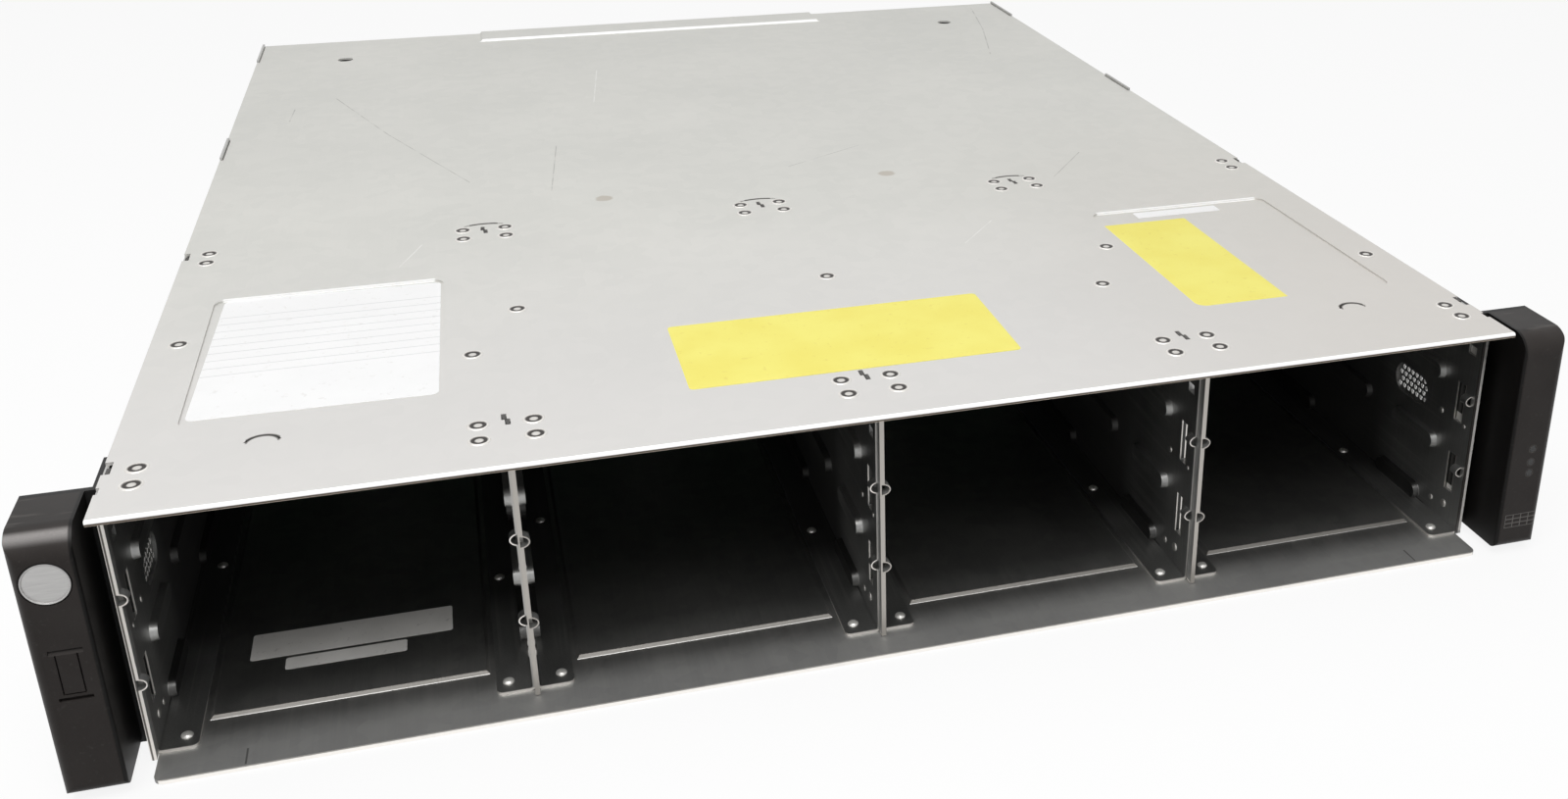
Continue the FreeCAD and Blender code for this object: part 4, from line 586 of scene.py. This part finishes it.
windows = rows.within(front_side.over(rear_side)).within(off.step(0.55, 0.65))
window_rear_shade = rows.within(band(y, WINDOW_Y[1] - 0.1, WINDOW_Y[1] + 0.1, 0.05)).within(off.step(0.65, 0.55))
# Painted shade at the rear side of each window.
colour = (window_rear_shade * 0.9).tint(colour, srgb(36, 36, 35))
left_edge = nose_edge.within(x.step(*LEFT_PLATE_X))
# Painted highlights on the cut edges, the feet rims and the far left nose.
edge_highlights = (plate_edge * 0.35).over(arch_edge).over(windows).over(left_edge).over(rims * 0.85)
colour = edge_highlights.tint(colour, srgb(244, 240, 234))
grey_nose = nose_edge - left_edge
colour = grey_nose.tint(colour, srgb(182, 178, 172))
# Painted shade on the tops of the tabs; the front edge of the plate at the far right is dark as well.
colour = wall_edge.over(tab_shade).tint(colour, srgb(48, 45, 42))
left_seam = band(x, *LEFT_SEAM_X, 0.1).within(nose_edge)
colour = (left_seam * 0.85).tint(colour, srgb(60, 57, 54))
nose = y.step(PLATE_Y - 0.1, PLATE_Y - 0.3)
metal = edge_highlights.over(grey_nose).over(0.97 - 0.25 * nose) - 0.9 * wall_edge.over(tab_shade)
rough = 0.36 + 0.14 * clouds + 0.1 * nose + 0.2 * deep
wire_up(guide_zinc, Base_Color=colour, Metallic=metal, Roughness=rough, Normal=relief(drawn, 0.02, 0.3))
print("guide finish:", len(guide_zinc.node_tree.nodes), "nodes")

# %% [markdown]
# ## Moulded ear caps
# Both caps are charcoal ABS with a fine spark-eroded grain. The tops are painted darker as painted
# shade and are scuffed, the sides towards the bays are painted near black as painted shade, and the
# shoulder of the left cap is painted pale as a painted highlight. The wear and the painted light could
# be a second material; as masks on one they stay in step with the grain.

# %% Cap finish
CAP_TOP_Z = (85.6, 86.6)
SHOULDER_Y = (-12.3, -14.2)
SHOULDER_Z = (82.6, 85.0)
INNER_X = (226.0, 225.4)
CAP_EDGE_Y = (-16.6, -17.7)

cap_charcoal, start, spot, x, y, z = new_finish("cap_charcoal", IOR=1.5, Specular_IOR_Level=0.15)
fine = grain(spot, 0.25, 2)
smears = grain(spot, 18, 4)
colour = (0.6 * smears + 0.3 * fine).step(0.2, 0.7).tint(srgb(52, 48, 46), srgb(66, 62, 60))
# Painted shade: the tops are painted darker; the scuffs on them are wear.
shaded_top = z.step(*CAP_TOP_Z)
colour = (shaded_top * 0.85).tint(colour, srgb(34, 32, 31))
top_rub = shaded_top * grain(spot, 2.5, 4, (6, 1, 1)).step(0.55, 0.72)
colour = (top_rub * 0.35).tint(colour, srgb(120, 116, 112))
# Painted highlight on the shoulder of the left cap.
shoulder_highlight = y.step(*SHOULDER_Y).within(z.step(*SHOULDER_Z)).within(x.step(0, -1))
colour = (shoulder_highlight * (0.5 + 0.5 * fine)).tint(colour, srgb(172, 168, 166))
# Painted shade: the sides towards the bays are painted near black.
inner = abs(x).step(*INNER_X)
colour = (inner * 0.85).tint(colour, srgb(8, 8, 8))
edge_rub = y.step(*CAP_EDGE_Y) * grain(spot, 1.4, 3).step(0.6, 0.8)
colour = (edge_rub * 0.15).tint(colour, srgb(120, 117, 114))
print("cap tone:", len(cap_charcoal.node_tree.nodes), "nodes")

# %% [markdown]
# ## Printing on the right cap
# The right cap has a small printed map of the drive bays below three lamps, each with a ring round it.
# Printing lies on the surface, so it is a colour and not a shape. The map is a plain grid of lines, and
# a line is where the point's place, folded back and forth, comes near zero.

# %% Cap printing
FACE_Y = (-17.0, -17.6)
MAP_X = (227.2, 239.8)
MAP_Z = (11.4, 16.6)
MAP_COLUMNS = 4
MAP_ROWS = 3
LAMP_X = 234.0
LAMP_Z = (33.0, 37.3, 42.5)
LAMP_RING = (1.3, 1.6)
PRINT_WIDTH = 0.16


def ruled(value, low, high, count):
    """Thin lines that divide the stretch from low to high into count parts, ends included."""
    pitch = (high - low) / count
    place = value.math("PINGPONG", value - low, pitch / 2)
    return place.step(PRINT_WIDTH * 1.6, PRINT_WIDTH * 0.6)


on_face = y.step(*FACE_Y)
on_map = band(x, *MAP_X, 0.1) * band(z, *MAP_Z, 0.1) * on_face
lines = ruled(x, *MAP_X, MAP_COLUMNS).over(ruled(z, *MAP_Z, MAP_ROWS))
colour = (lines * on_map * 0.6).tint(colour, srgb(176, 172, 168))
for lamp_z in LAMP_Z:
    away = start.add("ShaderNodeCombineXYZ", inputs={0: x - LAMP_X, 1: z - lamp_z})
    away = start.add("ShaderNodeVectorMath", {"operation": "LENGTH"}, {0: away}, "Value")
    colour = (band(away, *LAMP_RING, 0.15) * on_face * 0.4).tint(colour, srgb(120, 116, 112))
rough = 0.4 + 0.14 * fine - 0.1 * smears
wire_up(cap_charcoal, Base_Color=colour, Roughness=rough, Normal=relief(fine, 0.05, 0.35))
print("cap finish:", len(cap_charcoal.node_tree.nodes), "nodes")

# %% [markdown]
# ## Circuit boards
# The boards carry green solder mask over faint copper traces. A brick pattern is a quick way to straight
# lines that break off, as traces do. Blocks rise above the boards of the controllers: bare metal fins
# on one side, dark packs on the other and dark sockets at the front end, told apart by where they stand.

# %% Board finish
LOWER_BLOCKS_Z = (9.6, 43.0)
UPPER_BLOCKS_Z = (52.6, 52.8)
BLOCKS_Y = (212, 214)
FINS_X = (8, 6)
FINS_Y = (280, 282)
PACKS_X = (38, 40)
SOCKETS_Y = (250, 248)

board_green, start, spot, x, y, z = new_finish("board_green", IOR=1.5, Coat_Weight=0.3)
traces = start.add("ShaderNodeTexBrick", {"offset": 0.35}, {
    "Vector": spot, "Scale": 0.12, "Mortar Size": 0.06, "Color1": (0, 0, 0, 1),
    "Color2": (0.3, 0.3, 0.3, 1), "Mortar": (1, 1, 1, 1)}, "Fac")
colour = grain(spot, 30).tint(srgb(18, 62, 40), srgb(26, 78, 50))
colour = (traces * 0.5).tint(colour, srgb(46, 104, 70))
raised = band(z, *LOWER_BLOCKS_Z, 0.2).over(z.step(*UPPER_BLOCKS_Z)).within(y.step(*BLOCKS_Y))
fins = raised.within(x.step(*FINS_X)).within(y.step(*FINS_Y))
packs = raised.within(x.step(*PACKS_X)).over(raised.within(y.step(*SOCKETS_Y)))
colour = fins.tint(colour, srgb(158, 160, 162))
colour = packs.tint(colour, srgb(36, 37, 40))
rough = 0.35 + 0.2 * grain(spot, 4)
bumps = relief(traces, 0.04, 0.4)
wire_up(board_green, Base_Color=colour, Metallic=fins * 0.5, Roughness=rough, Normal=bumps)
print("board finish:", len(board_green.node_tree.nodes), "nodes")

# %% [markdown]
# ## Black mouldings, modules, screws, light pipes, levers and rack ears
# These sit deep in the bays or at the rear. Each still gets its own finish: glass-filled nylon, brushed
# module steel, nickel-plated screws, clear acrylic, grey levers, and a black powder coat on the rack
# ears behind the caps. All follow one recipe: two tones mixed by noise, which also roughens them.

# %% Inner finishes
nylon_black, _, spot, *_ = new_finish("nylon_black", IOR=1.52)
fine = grain(spot, 0.4, 3)
colour = (0.5 * fine + 0.5 * grain(spot, 20)).tint(srgb(22, 22, 23), srgb(38, 38, 39))
wire_up(nylon_black, Base_Color=colour, Roughness=0.42 + 0.22 * fine, Normal=relief(fine, 0.04, 0.3))

module_steel, _, spot, *_ = new_finish("module_steel", Metallic=0.5, IOR=1.6)
brushed = grain(spot, 0.5, 3, (50, 1, 1))
clouds = grain(spot, 45, 4)
colour = (0.6 * clouds + 0.3 * brushed).step(0.1, 0.8).tint(srgb(164, 164, 163), srgb(192, 191, 188))
bumps = relief(brushed, 0.02, 0.3)
wire_up(module_steel, Base_Color=colour, Roughness=0.4 + 0.2 * brushed, Normal=bumps)

screw_nickel, _, spot, *_ = new_finish("screw_nickel", Metallic=0.8, IOR=1.8)
fine = grain(spot, 1.2, 3)
colour = fine.tint(srgb(176, 174, 170), srgb(214, 211, 206))
wire_up(screw_nickel, Base_Color=colour, Roughness=0.26 + 0.16 * fine, Normal=relief(fine, 0.03, 0.2))

pipe_acrylic, _, spot, *_ = new_finish("pipe_acrylic", IOR=1.49, Transmission_Weight=0.5)
fine = grain(spot, 1.5, 2)
colour = fine.tint(srgb(66, 66, 66), srgb(92, 91, 90))
wire_up(pipe_acrylic, Base_Color=colour, Roughness=0.18 + 0.12 * fine)

lever_grey, _, spot, *_ = new_finish("lever_grey", IOR=1.52)
fine = grain(spot, 0.35, 2)
colour = (0.6 * grain(spot, 12, 4) + 0.3 * fine).tint(srgb(58, 58, 60), srgb(80, 80, 82))
wire_up(lever_grey, Base_Color=colour, Roughness=0.45 + 0.15 * fine, Normal=relief(fine, 0.04, 0.35))

ear_coat, _, spot, *_ = new_finish("ear_coat", IOR=1.5, Specular_IOR_Level=0.3)
fine = grain(spot, 0.7, 3)
colour = (0.5 * fine + 0.5 * grain(spot, 15)).tint(srgb(20, 20, 20), srgb(32, 31, 31))
wire_up(ear_coat, Base_Color=colour, Roughness=0.5 + 0.15 * fine, Normal=relief(fine, 0.05, 0.35))
print("inner finishes: 6")

# %% [markdown]
# ## Give the solids their finishes
# Each solid keeps its shape and only its material slots change. A short table of name endings
# says which finish goes where; the first ending that fits wins.

# %% Dress the solids
FINISH_BY_NAME = [
    ("base_tray", shell_zinc), ("top_cover", cover_zinc), ("_guide", guide_zinc),
    ("_ear_cap", cap_charcoal), ("_rack_ear", ear_coat),
    ("status_light_pipes", pipe_acrylic), ("_screws", screw_nickel), ("_thumbscrew", screw_nickel),
    ("_grille", screw_nickel), ("_badge", screw_nickel), ("board", board_green),
    ("_connectors", nylon_black), ("_ports", nylon_black), ("_fan_frame", nylon_black),
    ("_fan_rotor", nylon_black), ("_entry", nylon_black), ("_rocker", nylon_black),
    ("_lever", lever_grey), ("_handle", lever_grey), ("_tray", module_steel),
    ("_case", module_steel), ("_lid", module_steel), ("", shell_zinc)]
for name, solid in nodes.items():
    chosen = next(finish for ending, finish in FINISH_BY_NAME if name.endswith(ending))
    for slot in solid.material_slots:
        slot.material = chosen
print("dressed", len(nodes), "solids in", len({f.name for e, f in FINISH_BY_NAME}), "finishes")

# %% [markdown]
# ## Surfaces from two parameters
# The small pieces are worked out as grids of points: one parameter along a profile, the other
# round an axis or an outline. Copies are one more axis of the same array, so any number of rivets
# costs one formula. The grid is joined into quads, and points that meet at a pole are merged.

# %% Grids into meshes
def grid_quads(copies, rows, columns):
    """Corner numbers of the quads between rows of closed rings, for every copy."""
    copy, row, column = np.indices((copies, rows - 1, columns))
    ahead = (column + 1) % columns
    first = (copy * rows + row) * columns
    above = first + columns
    return np.stack((first + column, first + ahead, above + ahead, above + column), -1)


def closed_piece(name, points, body, finish, marks=None):
    """Mesh from points (copies, rows, columns, 3) in millimetres; marks is a value per point."""
    copies, rows, columns = points.shape[:3]
    mesh = bpy.data.meshes.new(name)
    quads = grid_quads(copies, rows, columns).reshape(-1, 4)
    mesh.from_pydata((points.reshape(-1, 3) * MM).tolist(), [], quads.tolist())
    if marks is not None:
        layer = mesh.attributes.new("marks", "FLOAT", "POINT")
        layer.data.foreach_set("value", np.broadcast_to(marks, points.shape[:3]).ravel())
    shape = bmesh.new()
    shape.from_mesh(mesh)
    bmesh.ops.remove_doubles(shape, verts=shape.verts, dist=1e-7)
    bmesh.ops.recalc_face_normals(shape, faces=shape.faces)
    shape.to_mesh(mesh)
    shape.free()
    mesh.materials.append(finish)
    piece = bpy.data.objects.new(name, mesh)
    bpy.context.scene.collection.objects.link(piece)
    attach(piece, body)
    print(name, "faces:", len(mesh.polygons))
    return piece


def turned(profile, centres, along, around=24):
    """Profile (radius, height) revolved: centre + r cos a u + r sin a v + h w, with w along the axis."""
    w = np.array(along, float)
    u = np.roll(w, 1)
    v = np.cross(w, u)
    angle = np.linspace(0, 2 * np.pi, around, endpoint=False)
    ring = np.cos(angle)[:, None] * u + np.sin(angle)[:, None] * v
    profile = np.array(profile, float)
    shape = profile[:, 0, None, None] * ring + profile[:, 1, None, None] * w
    return np.array(centres, float)[:, None, None, :] + shape


print("a quad grid of 2 by 3:", grid_quads(1, 2, 3).reshape(-1, 4).tolist())

# %% [markdown]
# ## Press joints in the cover
# The cover is clinched to the flanges of the guides: a punch presses a round cup through both
# sheets and the metal locks. Seen from above each one is a ring with a groove painted dark as painted
# shade and a bright button. They stand in rows beside every guide plate, closer together at the front
# and the rear.

# %% Clinch dimples
COVER_Z = 87.4
GUIDE_LINES = np.array(PLATE_LINES)
JOINT_OFFSET = 8.1
SHARED_Y = (3.3, 13.5, 181.2, 191.2)
RIGHT_FLANGE_Y = 102.7
LEFT_FLANGE_Y = 66.9
CLINCH = [(0, 0.16), (0.9, 0.16), (1.2, 0.1), (1.4, 0.03), (2.3, 0.03), (2.5, 0.2), (2.8, 0.32),
          (3.1, 0.24), (3.35, 0.0), (3.35, -0.1), (0, -0.1)]
CLINCH_SHADE = (0.15, 0.15, 0.4, 1.0, 1.0, 0.6, 0.0, 0.0, 0.1, 0.0, 0.0)
UNDER_STICKER = (-8.1, 66.9)


def flange_places(ys_right, ys_left):
    """Places (x, y) right of all guide lines but the last, then left of all but the first."""
    right = np.array([(line + JOINT_OFFSET, y) for line in GUIDE_LINES[:-1] for y in ys_right])
    left = np.array([(line - JOINT_OFFSET, y) for line in GUIDE_LINES[1:] for y in ys_left])
    return np.concatenate((right, left))


clinch_steel, start, spot, *_ = new_finish("clinch_steel", Metallic=0.45, IOR=1.6)
shade = start.add("ShaderNodeAttribute", {"attribute_name": "marks"}, output="Fac")
fine = grain(spot, 1.5)
# Painted shade: where the marks are high, the groove is painted dark.
colour = shade.tint(fine.tint(srgb(214, 210, 204), srgb(240, 238, 234)), srgb(38, 32, 28))
wire_up(clinch_steel, Base_Color=colour, Roughness=0.36 + 0.16 * fine)

clinch_xy = flange_places(SHARED_Y + (RIGHT_FLANGE_Y,), SHARED_Y + (LEFT_FLANGE_Y,))
clinch_xy = clinch_xy[np.linalg.norm(clinch_xy - UNDER_STICKER, axis=1) > 1.0]
clinch_at = np.column_stack((clinch_xy, np.full(len(clinch_xy), COVER_Z)))
clinch_marks = np.array(CLINCH_SHADE)[None, :, None]
closed_piece("cover_clinches", turned(CLINCH, clinch_at, (0, 0, 1), 20),
             "chassis", clinch_steel, clinch_marks)

# %% [markdown]
# ## Rivet domes on the feet
# Under the bays the guide plates are held by low domed rivets, one near the front corner of each
# foot and one further back. A dome is a quarter circle turned round: a short profile is enough.

# %% Foot rivets
DOME_R = 1.8
DOME_H = 1.0
FOOT_FRONT = 4.0
SUNK = -0.1

quarter = np.linspace(0, np.pi / 2, 7)
dome = np.column_stack((DOME_R * np.sin(quarter), DOME_H * np.cos(quarter)))
dome = np.concatenate((dome, [(DOME_R, SUNK), (0, SUNK)]))
rivet_xy = flange_places((FOOT_FRONT, RIGHT_FLANGE_Y), (FOOT_FRONT, LEFT_FLANGE_Y))
rivet_at = np.column_stack((rivet_xy, np.full(len(rivet_xy), FOOT_Z)))
rivet_bright, _, spot, *_ = new_finish("rivet_bright", Metallic=0.6, IOR=1.6)
fine = grain(spot, 1.2, 3)
colour = fine.tint(srgb(238, 236, 230), srgb(252, 250, 246))
wire_up(rivet_bright, Base_Color=colour, Roughness=0.24 + 0.12 * fine)
closed_piece("foot_rivets", turned(dome, rivet_at, (0, 0, 1), 20),
             "chassis", rivet_bright)

# %% [markdown]
# ## Spot joints on the plates
# Low round heads on the faces of the guide plates show where two sheets are joined back to back.
# They are the same turned dome, lying on its side: the axis points away from the plate.

# %% Plate spots
SPOTS = [("tall_spots", 1.2, ((16.8, 43.5), (16.1, 7.4))), ("small_spots", 0.8, ((2.6, 43.4),)),
         ("broad_spots", 1.6, ((8.2, 8.9),))]
SPOT_FLATNESS = 0.4
PLATE_T = 1.0


def spot_places(lines, face, places):
    """Places (y, z) repeated on every plate whose outer face lies at line + face."""
    spots = np.empty((len(lines), len(places), 3))
    spots[..., 0] = lines[:, None] + face
    spots[..., 1:] = places
    return spots.reshape(-1, 3)


for name, radius, places in SPOTS:
    head = radius * np.column_stack((np.sin(quarter), SPOT_FLATNESS * np.cos(quarter)))
    head = np.concatenate((head, [(radius, SUNK), (0, SUNK)]))
    right_spots = turned(head, spot_places(GUIDE_LINES[:-1], PLATE_T, places), (1, 0, 0), 16)
    left_spots = turned(head, spot_places(GUIDE_LINES[1:], -PLATE_T, places), (-1, 0, 0), 16)
    closed_piece(name, np.concatenate((right_spots, left_spots)), "chassis", screw_nickel)

# %% [markdown]
# ## Stickers
# A pressed recess in the cover carries a white sticker with faint rules, and plain yellow ones lie
# across the front. A sticker could be a patch of colour on the sheet. Here it is a thin rounded
# rectangle: one parameter runs round the outline, the other from the middle out to the edge and down
# it. The edge is real, so it catches light.

# %% Sticker shapes and finishes
STICKER_T = 0.12
RULE_PITCH = 6.2
RULE_WIDTH = 0.35
RULED_Y = (72, 128)


def sticker(x0, x1, y0, y1, z, corner, slant=0.0, turns=6):
    """Rounded rectangle at height z: corner centres plus corner * (cos a, sin a), shrunk to the middle.

    The slant turns it by that many degrees, as a sticker put on by hand is never quite straight.
    """
    angle = np.linspace(0, np.pi / 2, turns)
    angle = (np.arange(4)[:, None] * np.pi / 2 + angle).ravel()
    reach = np.array((x1 - x0, y1 - y0)) / 2 - corner
    side = np.repeat(np.array(((1, 1), (-1, 1), (-1, -1), (1, -1))), turns, axis=0)
    outline = side * reach + corner * np.column_stack((np.cos(angle), np.sin(angle)))
    cos, sin = np.cos(np.radians(slant)), np.sin(np.radians(slant))
    outline = outline @ np.array(((cos, sin), (-sin, cos)))
    share = np.array((0.0, 0.5, 0.9, 0.995, 1.0, 1.0, 0.0))
    rise = np.array((1.0, 1.0, 1.0, 1.0, 0.7, -0.1, -0.1)) * STICKER_T
    points = np.zeros((1, len(share), len(outline), 3))
    points[0, :, :, :2] = share[:, None, None] * outline + ((x0 + x1) / 2, (y0 + y1) / 2)
    points[0, :, :, 2] = z + rise[:, None]
    return points


def sticker_finish(name, pale, deep, soil, sheen):
    """Coated paper: cloudy tone, soiled specks and a slight sheen."""
    material, _, spot, _, y, _ = new_finish(name, IOR=1.46)
    fibre = grain(spot, 0.5, 3)
    colour = grain(spot, 22, 4).step(0.3, 0.7).tint(pale, deep)
    colour = (grain(spot, 2.2, 5).step(0.62, 0.72) * 0.35).tint(colour, soil)
    wire_up(material, Base_Color=colour, Roughness=sheen + 0.18 * fibre, Normal=relief(fibre, 0.02, 0.2))
    return material, colour, y


paper_white, colour, y = sticker_finish("paper_white", srgb(255, 255, 255), srgb(252, 252, 252),
                                        srgb(222, 220, 216), 0.45)
paper_yellow, *_ = sticker_finish("paper_yellow", srgb(252, 243, 124), srgb(248, 236, 112),
                                  srgb(230, 210, 96), 0.4)
paper_grey, *_ = sticker_finish("paper_grey", srgb(238, 236, 232), srgb(224, 222, 218),
                                srgb(170, 168, 164), 0.5)
rules = y.math("PINGPONG", y, RULE_PITCH / 2).step(RULE_WIDTH, RULE_WIDTH * 0.5) * band(y, *RULED_Y, 0.5)
wire_up(paper_white, Base_Color=(rules * 0.3).tint(colour, srgb(150, 150, 152)))
print("sticker finishes: white, yellow, grey")

# %% [markdown]
# ## Where the stickers lie
# Four lie on the cover, three of them in its recesses, and two more on the floor of the first bay.
# Each row of the table gives the two sides, front and rear, the height and the corner radius, and for
# the white one the slant.

# %% Stickers in place
RECESS_Z = 86.7
PAN_Z = 2.2
STICKERS = [("white_sticker", (-202.8, -129.4, 41.6, 139.0, RECESS_Z, 2.2, -1.1), paper_white),
            ("yellow_sticker_middle", (-55.2, 55.2, 20.0, 71.5, COVER_Z, 1.6), paper_yellow),
            ("yellow_sticker_right", (128.3, 163.6, 37.6, 126.6, RECESS_Z, 0.8), paper_yellow),
            ("white_strip_right", (145.5, 182.3, 131.3, 137.6, RECESS_Z, 0.6), paper_white),
            ("bay_sticker_long", (-198.0, -135.6, 38.5, 53.3, PAN_Z, 0.8), paper_grey),
            ("bay_sticker_short", (-187.0, -150.0, 30.5, 37.0, PAN_Z, 0.8), paper_grey)]
for name, sizes, paper in STICKERS:
    closed_piece(name, sticker(*sizes), "chassis", paper)

# %% [markdown]
# ## Badge
# The left cap carries a round silver disc with a dark rim and a slightly domed face: a small stamped
# medallion. A flat disc with a bevel would nearly do, but the dome is what makes the light roll over
# it. The profile is turned round its axis, and the new disc replaces the flat one.

# %% Badge disc
BADGE_AT = [(-233.05, -17.1, 71.8)]
BADGE_PROFILE = [(0, 0.74), (2.0, 0.72), (4.0, 0.62), (5.2, 0.5), (5.55, 0.42), (5.7, 0.4), (5.8, 0.66),
                 (6.0, 0.78), (6.2, 0.72), (6.3, 0.5), (6.3, 0.0), (0, 0.0)]
BADGE_SHADE = (0, 0, 0, 0, 0, 0.1, 0.1, 0, 0.6, 1, 1, 1)

badge_silver, start, spot, *_ = new_finish("badge_silver", Metallic=0.6, IOR=1.7)
shade = start.add("ShaderNodeAttribute", {"attribute_name": "marks"}, output="Fac")
satin = grain(spot, 0.5, 3, (12, 1, 1))
colour = shade.tint(satin.tint(srgb(186, 185, 184), srgb(216, 215, 213)), srgb(40, 38, 37))
wire_up(badge_silver, Base_Color=colour, Roughness=0.3 + 0.2 * satin)
badge = closed_piece("badge_disc", turned(BADGE_PROFILE, BADGE_AT, (0, -1, 0), 64), "left_cap",
                     badge_silver, np.array(BADGE_SHADE, float)[None, :, None])
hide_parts("left_badge")

# %% [markdown]
# ## Knurled thumbscrews
# The controllers are locked by four captive screws at the rear. Their knobs are straight-knurled
# for the fingers: the radius of the turned profile goes up and down round the axis, but only on the
# grip. Each groove could be cut on its own; one formula makes all of them at once.

# %% Thumbscrews
KNURLS = 22
KNURL_DEPTH = 0.35
KNOB = [(0, 6.0, 0), (1.4, 6.0, 0), (1.5, 5.4, 0), (2.2, 5.4, 0), (2.3, 6.0, 0), (3.3, 6.0, 0),
        (4.2, 5.3, 1), (4.2, 1.2, 1), (3.4, 0.5, 0), (2.6, 0.0, 0), (1.6, 0.0, 0), (1.6, -7.4, 0),
        (0, -7.4, 0)]
KNOB_X = 91.0
KNOB_FACE_Y = 552.38
KNOB_PLACES = {"controller_a": 26.1, "controller_b": 69.3}


def knurled(profile, centre, around=132):
    """Turned along +y; where the grip flag is set, the radius is less by depth * (1 + cos n a) / 2."""
    radius, rise, grip = np.array(profile, float).T
    angle = np.linspace(0, 2 * np.pi, around, endpoint=False)
    wave = KNURL_DEPTH * (1 + np.cos(KNURLS * angle)) / 2
    r = radius[:, None] - grip[:, None] * wave
    shape = np.stack((r * np.cos(angle), np.broadcast_to(rise[:, None], r.shape), r * np.sin(angle)), -1)
    return np.array(centre) + shape[None]


for module, knob_z in KNOB_PLACES.items():
    for word, side in (("left", -1), ("right", 1)):
        node = f"{module}_{word}_thumbscrew"
        points = knurled(KNOB, (side * KNOB_X, KNOB_FACE_Y, knob_z))
        knob = closed_piece(node + "_knurled", points, node + "_body", screw_nickel)
        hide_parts(node)
